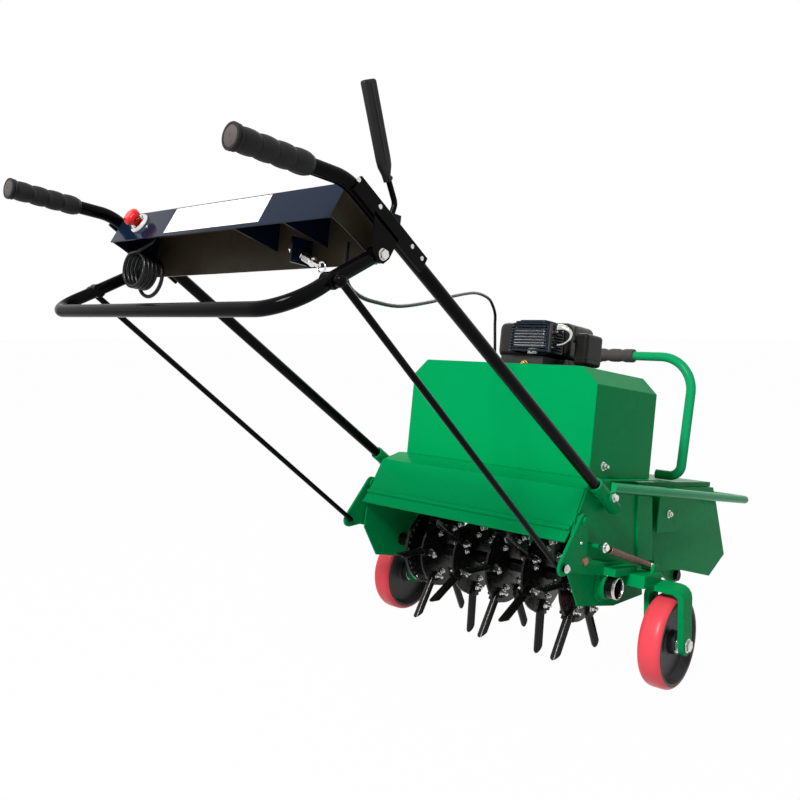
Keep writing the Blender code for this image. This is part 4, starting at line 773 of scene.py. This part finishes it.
def panel_fittings():
    """Label, stop knob and locking pin."""
    bm = mesh()
    turn = Matrix.Rotation(math.atan2(PANEL_RISE, PANEL_RUN) - math.pi / 2, 3, "X")
    slab(bm, panel_point(30.2, 0.45) + X_AXIS * 5.0, (243.0, 0.7, 50.0), turn)
    piece("label", bm, WHITE, "chassis", ["panel_label"], bevel=0.25)

    side = X_AXIS * KNOB_X
    normal = (panel_point(0, 1) - panel_point(0, 0)).normalized()
    bm = mesh()
    lathe(bm, [(19.0, 0.4), (19.0, 2.6), (18.0, 4.2), (16.0, 6.6), (13.6, 6.9), (11.4, 5.0), (11.0, 2.0),
               (8.6, 1.6), (8.4, 0.4)], panel_point(KNOB_UP, 0) + side, normal, 56, closed=True)
    piece("stop_ring", bm, CHROME, "chassis", ["stop_bezel"])
    bm = mesh()
    lathe(bm, [(7.9, -8.0), (7.9, 13.0), (13.0, 13.4), (15.4, 15.2), (15.9, 18.5), (15.2, 22.0), (13.2, 25.2),
               (9.0, 26.8), (0.0, 27.0)], panel_point(KNOB_UP, 0) + side, normal, 10)
    piece("stop_button", bm, RED, "stop_knob", ["stop_knob"], bevel=1.1, angle=20)

    bm = mesh()
    slope = math.radians(PIN_SLOPE)
    pull = Vector((math.cos(slope), 0.0, math.sin(slope)))
    lift = Vector((-math.sin(slope), 0.0, math.cos(slope)))
    depth = Vector((0.0, 1.0, 0.0))
    pin = Vector(PIN_AT)
    lathe(bm, [(0.0, -29.0), (3.4, -28.4), (4.0, -27.0), (4.0, -22.4), (6.0, -22.0), (6.0, -18.4),
               (4.0, -18.0), (4.0, 28.0), (7.4, 28.4), (7.4, 31.2), (4.0, 31.6), (4.0, 44.0),
               (3.0, 46.0), (0.0, 46.2)],
          pin, pull, 28)
    ring = [pin + pull * (52.0 + 8.0 * math.cos(a)) + lift * 8.0 * math.sin(a)
            for a in [math.tau * k / 32 for k in range(32)]]
    sweep(bm, ring, 1.6, 10, closed=True)
    curl = []
    for k in range(121):
        a = math.tau * k / 15
        curl.append(pin + pull * (4.0 + 23.0 * k / 120) + (lift * math.cos(a) + depth * math.sin(a)) * 5.8)
    sweep(bm, curl, 0.9, 6)
    piece("lock_pin_set", bm, CHROME, "lock_pin", ["lock_pin"])


def cables():
    """Sheath to the engine, and the coiled one below the knob."""
    route = [(238.0, -925.0, 762.0), (236.0, -922.0, 735.0), (229.0, -908.0, 706.0),
             (211.0, -863.0, 696.0), (193.0, -810.0, 696.0), (159.0, -714.0, 705.0),
             (112.0, -582.0, 734.0), (77.0, -481.0, 761.0), (36.0, -365.0, 789.0),
             (12.0, -299.0, 799.0), (-8.0, -240.0, 800.0), (-22.0, -204.0, 794.0),
             (-36.0, -168.0, 776.0), (-45.0, -151.0, 750.0), (-50.0, -138.0, 716.0),
             (-56.0, -124.0, 680.0), (-62.0, -110.0, 634.0)]
    bm = mesh()
    sweep(bm, smooth(route, 9.0), CABLE_R, 14)
    piece("cable_to_engine", bm, CABLE, "chassis", ["control_cable"], angle=80)

    centre = Vector(COIL_AT)
    lead = smooth([(KNOB_X + 11.0, -958.0, 793.0), (KNOB_X + 9.0, -964.0, 781.0),
                   (KNOB_X - 6.0, -971.0, 769.0), (centre.x + 15.0, centre.y, centre.z + COIL_R + 1.0)], 5.0)
    coil = []
    for k in range(COIL_TURNS * 40 + 1):
        turn = k / 40
        a = math.tau * k / 40 + math.pi / 2
        slack = 8.0 * max(0.0, min(1.0, (turn - (COIL_TURNS - 1)) * 4))
        loose = COIL_R + slack * 0.6
        coil.append(centre + Vector((0.3 * slack + loose * math.cos(a), COIL_PITCH * k / 40,
                                     loose * math.sin(a) - slack)))
    last = coil[-1]
    tail = smooth([last + Vector((-7.0, 0.8, 1.0)), last + Vector((-13.0, 6.0, 8.0)),
                   (18.2 - PANEL_X, -925.0, 777.0), (16.2 - PANEL_X, -922.0, 792.0)], 5.0)
    bm = mesh()
    sweep(bm, lead + coil + tail, CABLE_R, 12)
    piece("coiled_cable", bm, CABLE, "chassis", ["cable_coil"], angle=80)


def front_tubes():
    """Hoop with its sleeve, and bumper with its arms."""
    points = [(164.0, HOOP_Y, HOOP_FOOT), (226.0, HOOP_Y, HOOP_FOOT), (237.0, HOOP_Y, HOOP_TOP)]
    points += [(-x, y, z) for x, y, z in reversed(points)]
    bm = mesh()
    sweep(bm, rounded(points, (30.0, 88.0, 88.0, 30.0), 4.0), HOOP_R, 32)
    piece("hoop", bm, GREEN_PAINTED_LIGHTER, "chassis", ["lift_handle"])
    bm = mesh()
    for s in (1, -1):
        lathe(bm, [(12.2, 0.0), (12.2, 1.0), (11.0, 1.2), (0.0, 1.2)],
              (s * 163.6, HOOP_Y, HOOP_FOOT), (-s, 0, 0), 32)
    piece("hoop_plugs", bm, BLACK, "chassis")
    bm = mesh()
    outer = [(16.6, 65.5), (17.8, 64.0), (18.3, 56.0), (18.1, 42.0), (17.2, 36.0), (15.7, 32.5), (15.5, 29.0),
             (17.0, 26.0), (18.0, 20.0), (18.0, 2.0), (17.2, -3.0), (15.6, -8.0), (15.4, -13.0),
             (16.8, -17.0),
             (18.0, -22.0), (18.3, -44.0), (18.4, -58.0), (17.6, -64.0), (16.6, -65.5)]
    lathe(bm, outer + [(12.4, -65.5), (12.4, 65.5)], (5.5, HOOP_Y, HOOP_TOP), X_AXIS, 48, closed=True)
    piece("hoop_sleeve", bm, SLEEVE, "chassis", ["lift_handle_grip"], angle=60)

    points = [(x, y, bumper_z(y)) for x, y in ((BUMPER_X, BUMPER_REAR), (BUMPER_X, BUMPER_FRONT),
                                               (-BUMPER_X, BUMPER_FRONT), (-BUMPER_X, BUMPER_REAR))]
    bm = mesh()
    sweep(bm, rounded(points, (55.0, 55.0), 5.0), BUMPER_R, 32)
    piece("bumper_frame", bm, GREEN_PAINTED_LIGHTER, "chassis", ["bumper"])
    bm = mesh()
    arm = [(116.0, 308.0), (226.0, 307.0), (352.0, 360.0), (352.0, bumper_z(352.0) - 3),
           (116.0, bumper_z(116.0) - 3)]
    for s in (1, -1):
        prism(bm, arm, s * 272.6, s * 276.4)
    piece("bumper_arms", bm, GREEN, "chassis", bevel=0.8)


def sheet_bolts():
    """Fasteners on the green sheets."""
    bm = mesh()
    for s in (1, -1):
        fastener(bm, (s * 277.0, 172.0, 350.0), (s, 0, 0), 13.0, 5.0, 10.0, 3.0)
        fastener(bm, (s * 249.8, -126.0, 456.0), (s, 0, 0), 13.0, 6.0, 10.0, 6.0)
        fastener(bm, (s * 317.0, -196.0, handle_z(-196.0)), (s, 0, 0), 13.0, 6.0, 9.0)
    piece("sheet_bolts", bm, ZINC, "chassis")


# Engine
def soft_box(name, low, high, mat, width, stands_for):
    """Plastic case with well rounded edges."""
    bm = mesh()
    low, high = Vector(low), Vector(high)
    slab(bm, (low + high) / 2, high - low)
    piece(name, bm, mat, "chassis", [stands_for], bevel=width, segments=4, angle=30)


def engine():
    soft_box("tank", (-118.0, -33.0, 688.6), (84.0, 96.0, 777.0), PLASTIC, 18.0, "fuel_tank")
    bm = mesh()
    lathe(bm, [(23.0, 0.0), (23.0, 9.0), (20.0, 12.0), (8.0, 13.0), (0.0, 13.0)],
          (-70.0, 40.0, 775.0), (0, 0, 1), 24)
    piece("tank_cap", bm, PLASTIC, "chassis", bevel=0.8)
    soft_box("filter_case", (117.0, -65.0, 673.4), (151.5, 11.0, 747.6), FILTER, 9.0, "air_cleaner")
    bm = mesh()
    slab(bm, (134.2, -27.0, 690.0), (35.4, 76.9, 1.6))
    piece("filter_seam", bm, GAP_DARK, "chassis", bevel=0.5)
    bm = mesh()
    tube_end(bm, CHOKE_HINGE, X_AXIS, 6.5, 2.8)
    slab(bm, Vector(CHOKE_HINGE) + Vector((0.0, 0.0, 16.0)), (4.4, 9.0, 31.0))
    piece("choke_arm", bm, PLASTIC, "choke_lever", ["choke_lever"], bevel=1.0)

    bm = mesh()
    slab(bm, (19.0, -80.0, 731.0), (96.0, 58.0, 52.0))
    cylinder(bm, (20.0, -80.0, 688.6), (20.0, -80.0, 720.0), 13.0)
    piece("silencer", bm, CHROME, "chassis", ["muffler"], bevel=8.0, segments=4)
    # Outlet deflector: bright lip round a dark mouth
    bm = mesh()
    lip = smooth([(100.0, -106.0, 752.0), (112.0, -107.0, 752.0), (125.0, -106.0, 747.0),
                  (131.0, -104.0, 738.0), (127.0, -105.0, 725.0), (115.0, -107.0, 716.0),
                  (101.0, -108.0, 713.0)], 3.0)
    last = len(lip) - 1
    sweep(bm, lip, [2.6 + 6.5 * max(0.0, 1.0 - 1.9 * k / last) for k in range(last + 1)], 16)
    sweep(bm, smooth([(64.0, -92.0, 741.0), (90.0, -98.0, 744.0), (106.0, -102.0, 750.0)], 5.0), 6.0, 24)
    piece("silencer_outlet", bm, ZINC, "chassis")


def ring_slat(bm, z, half_x, half_y, height, depth=3.0, corner=16.0):
    """Flat band round a rounded rectangle."""
    rows = []
    for inset, h in ((0.0, z - height / 2), (0.0, z + height / 2 - 1.2), (depth, z + height / 2),
                     (depth, z - height / 2)):
        row = []
        for sx, sy, start in ((1, -1, -90), (1, 1, 0), (-1, 1, 90), (-1, -1, 180)):
            for k in range(6):
                a = math.radians(start + 18.0 * k)
                r = corner - inset
                row.append(bm.verts.new((GUARD_AT[0] + sx * (half_x - corner) + r * math.cos(a),
                                         GUARD_AT[1] + sy * (half_y - corner) + r * math.sin(a), h)))
        rows.append(row)
    for a, b in zip(rows, rows[1:] + rows[:1]):
        for k in range(len(a)):
            n = (k + 1) % len(a)
            bm.faces.new((a[k], a[n], b[n], b[k]))


def guard():
    """Domed cage of rounded louvres."""
    bm = mesh()
    for k in range(SLATS):
        ring_slat(bm, SLAT_FIRST + SLAT_PITCH * k, 53.0 - 0.03 * k * k, 42.0 - 0.03 * k * k, 3.8)
    ring_slat(bm, 699.5, 53.6, 42.6, 5.0)
    ring_slat(bm, 761.6, 50.5, 39.0, 4.2, 8.0)
    ring_slat(bm, 766.4, 46.0, 35.0, 4.2, 10.0)
    ring_slat(bm, 770.0, 38.0, 28.0, 3.6, 12.0, 14.0)
    slab(bm, (*GUARD_AT, 769.6), (68.0, 46.0, 3.0))
    for x, y in ((-22.0, -112.0), (76.0, -112.0), (76.0, -48.0), (-22.0, -48.0)):
        slab(bm, (x, y, 729.0), (5.0, 4.0, 60.0))
    piece("guard_cage", bm, GUARD, "chassis", ["muffler_guard"])
    bm = mesh()
    slab(bm, (82.0, -110.0, 729.0), (5.0, 9.0, 66.0))
    piece("guard_post", bm, IRON, "chassis", bevel=1.2)
    bm = mesh()
    fastener(bm, (13.0, -100.0, 670.0), (0, -1, 0), 11.0, 7.0, 8.0, 4.0)
    piece("exhaust_nut", bm, BRASS, "chassis")


# Everything in place
wheel("right", TRACK / 2, REAR_AXLE, "wheel_right")
wheel("left", -TRACK / 2, REAR_AXLE, "wheel_left")
wheel("front", 0.0, FRONT_AXLE, "wheel_front")
for number, (x, phase) in enumerate(zip(TINE_STATIONS, TINE_PHASES), 1):
    tine_wheel(number, x, phase)
bail()
for side, s in (("right", 1), ("left", -1)):
    axle_bolt(side, s)
    bearing(side, s)
    lift_fittings(side, s)
    spring(side, s)
    lift_rod(side, s)
    handle(side, s)
long_lever()
panel_fittings()
cables()
front_tubes()
sheet_bolts()
engine()
guard()


# Studio
def shown(nodes, links, seen):
    """1 for rays that should meet the white background: camera, glossy and transmission."""
    total = seen.outputs["Is Camera Ray"]
    for kind in ("Is Glossy Ray", "Is Transmission Ray"):
        more = nodes.new("ShaderNodeMath")
        more.operation = "MAXIMUM"
        links.new(total, more.inputs[0])
        links.new(seen.outputs[kind], more.inputs[1])
        total = more.outputs[0]
    return total


def plain(name, colour, glow):
    """Pale surface that keeps the object's shadow and goes to white for the camera."""
    mat = bpy.data.materials.new(name)
    mat.use_nodes = True
    nodes, links = mat.node_tree.nodes, mat.node_tree.links
    out = nodes["Material Output"]
    base = nodes["Principled BSDF"]
    base.inputs["Base Color"].default_value = (*colour, 1.0)
    base.inputs["Roughness"].default_value = 0.9
    base.inputs["Specular IOR Level"].default_value = 0.1
    light = nodes.new("ShaderNodeEmission")
    light.inputs["Strength"].default_value = 1.0
    seen = nodes.new("ShaderNodeLightPath")
    amount = nodes.new("ShaderNodeMath")
    amount.operation = "MULTIPLY"
    amount.inputs[1].default_value = glow
    mix = nodes.new("ShaderNodeMixShader")
    links.new(shown(nodes, links, seen), amount.inputs[0])
    links.new(amount.outputs[0], mix.inputs["Fac"])
    links.new(base.outputs[0], mix.inputs[1])
    links.new(light.outputs[0], mix.inputs[2])
    links.new(mix.outputs[0], out.inputs["Surface"])
    return mat


bm = bmesh.new()
bmesh.ops.create_grid(bm, x_segments=1, y_segments=1, size=30.0)
sheet = bpy.data.meshes.new("floor")
bm.to_mesh(sheet)
bm.free()
sheet.materials.append(plain("floor_white", (FLOOR_SHADE, FLOOR_SHADE, FLOOR_SHADE), FLOOR_GLOW))
floor = bpy.data.objects.new("floor", sheet)
floor.location = (0.0, 0.0, -0.0005)
bpy.context.scene.collection.objects.link(floor)

world = bpy.data.worlds.new("studio")
bpy.context.scene.world = world
world.use_nodes = True
nodes, links = world.node_tree.nodes, world.node_tree.links
sky = nodes["Background"]
sky.inputs["Color"].default_value = (0.93, 0.96, 1.0, 1.0)
sky.inputs["Strength"].default_value = SKY_STRENGTH
white = nodes.new("ShaderNodeBackground")
white.inputs["Color"].default_value = (1.0, 1.0, 1.0, 1.0)
path = nodes.new("ShaderNodeLightPath")
mix = nodes.new("ShaderNodeMixShader")
links.new(shown(nodes, links, path), mix.inputs["Fac"])
links.new(sky.outputs[0], mix.inputs[1])
links.new(white.outputs[0], mix.inputs[2])
links.new(mix.outputs[0], nodes["World Output"].inputs["Surface"])


def lamp(name, place, aim, power, size, colour=(1.0, 1.0, 1.0)):
    data = bpy.data.lights.new(name, "AREA")
    data.energy = power
    data.size = size
    data.color = colour
    obj = bpy.data.objects.new(name, data)
    obj.location = place
    obj.rotation_euler = (Vector(aim) - Vector(place)).to_track_quat("-Z", "Y").to_euler()
    bpy.context.scene.collection.objects.link(obj)


lamp("key", (0.55, -3.0, 3.1), (0.0, 0.2, 0.4), 160.0, 0.8, (1.0, 0.98, 0.95))
lamp("fill", (-2.6, -1.6, 1.6), (0.0, 0.2, 0.4), 9.0, 2.2)
lamp("back", (-1.6, 2.8, 2.4), (0.0, 0.2, 0.5), 30.0, 2.0)

bpy.context.scene.view_settings.view_transform = "Standard"
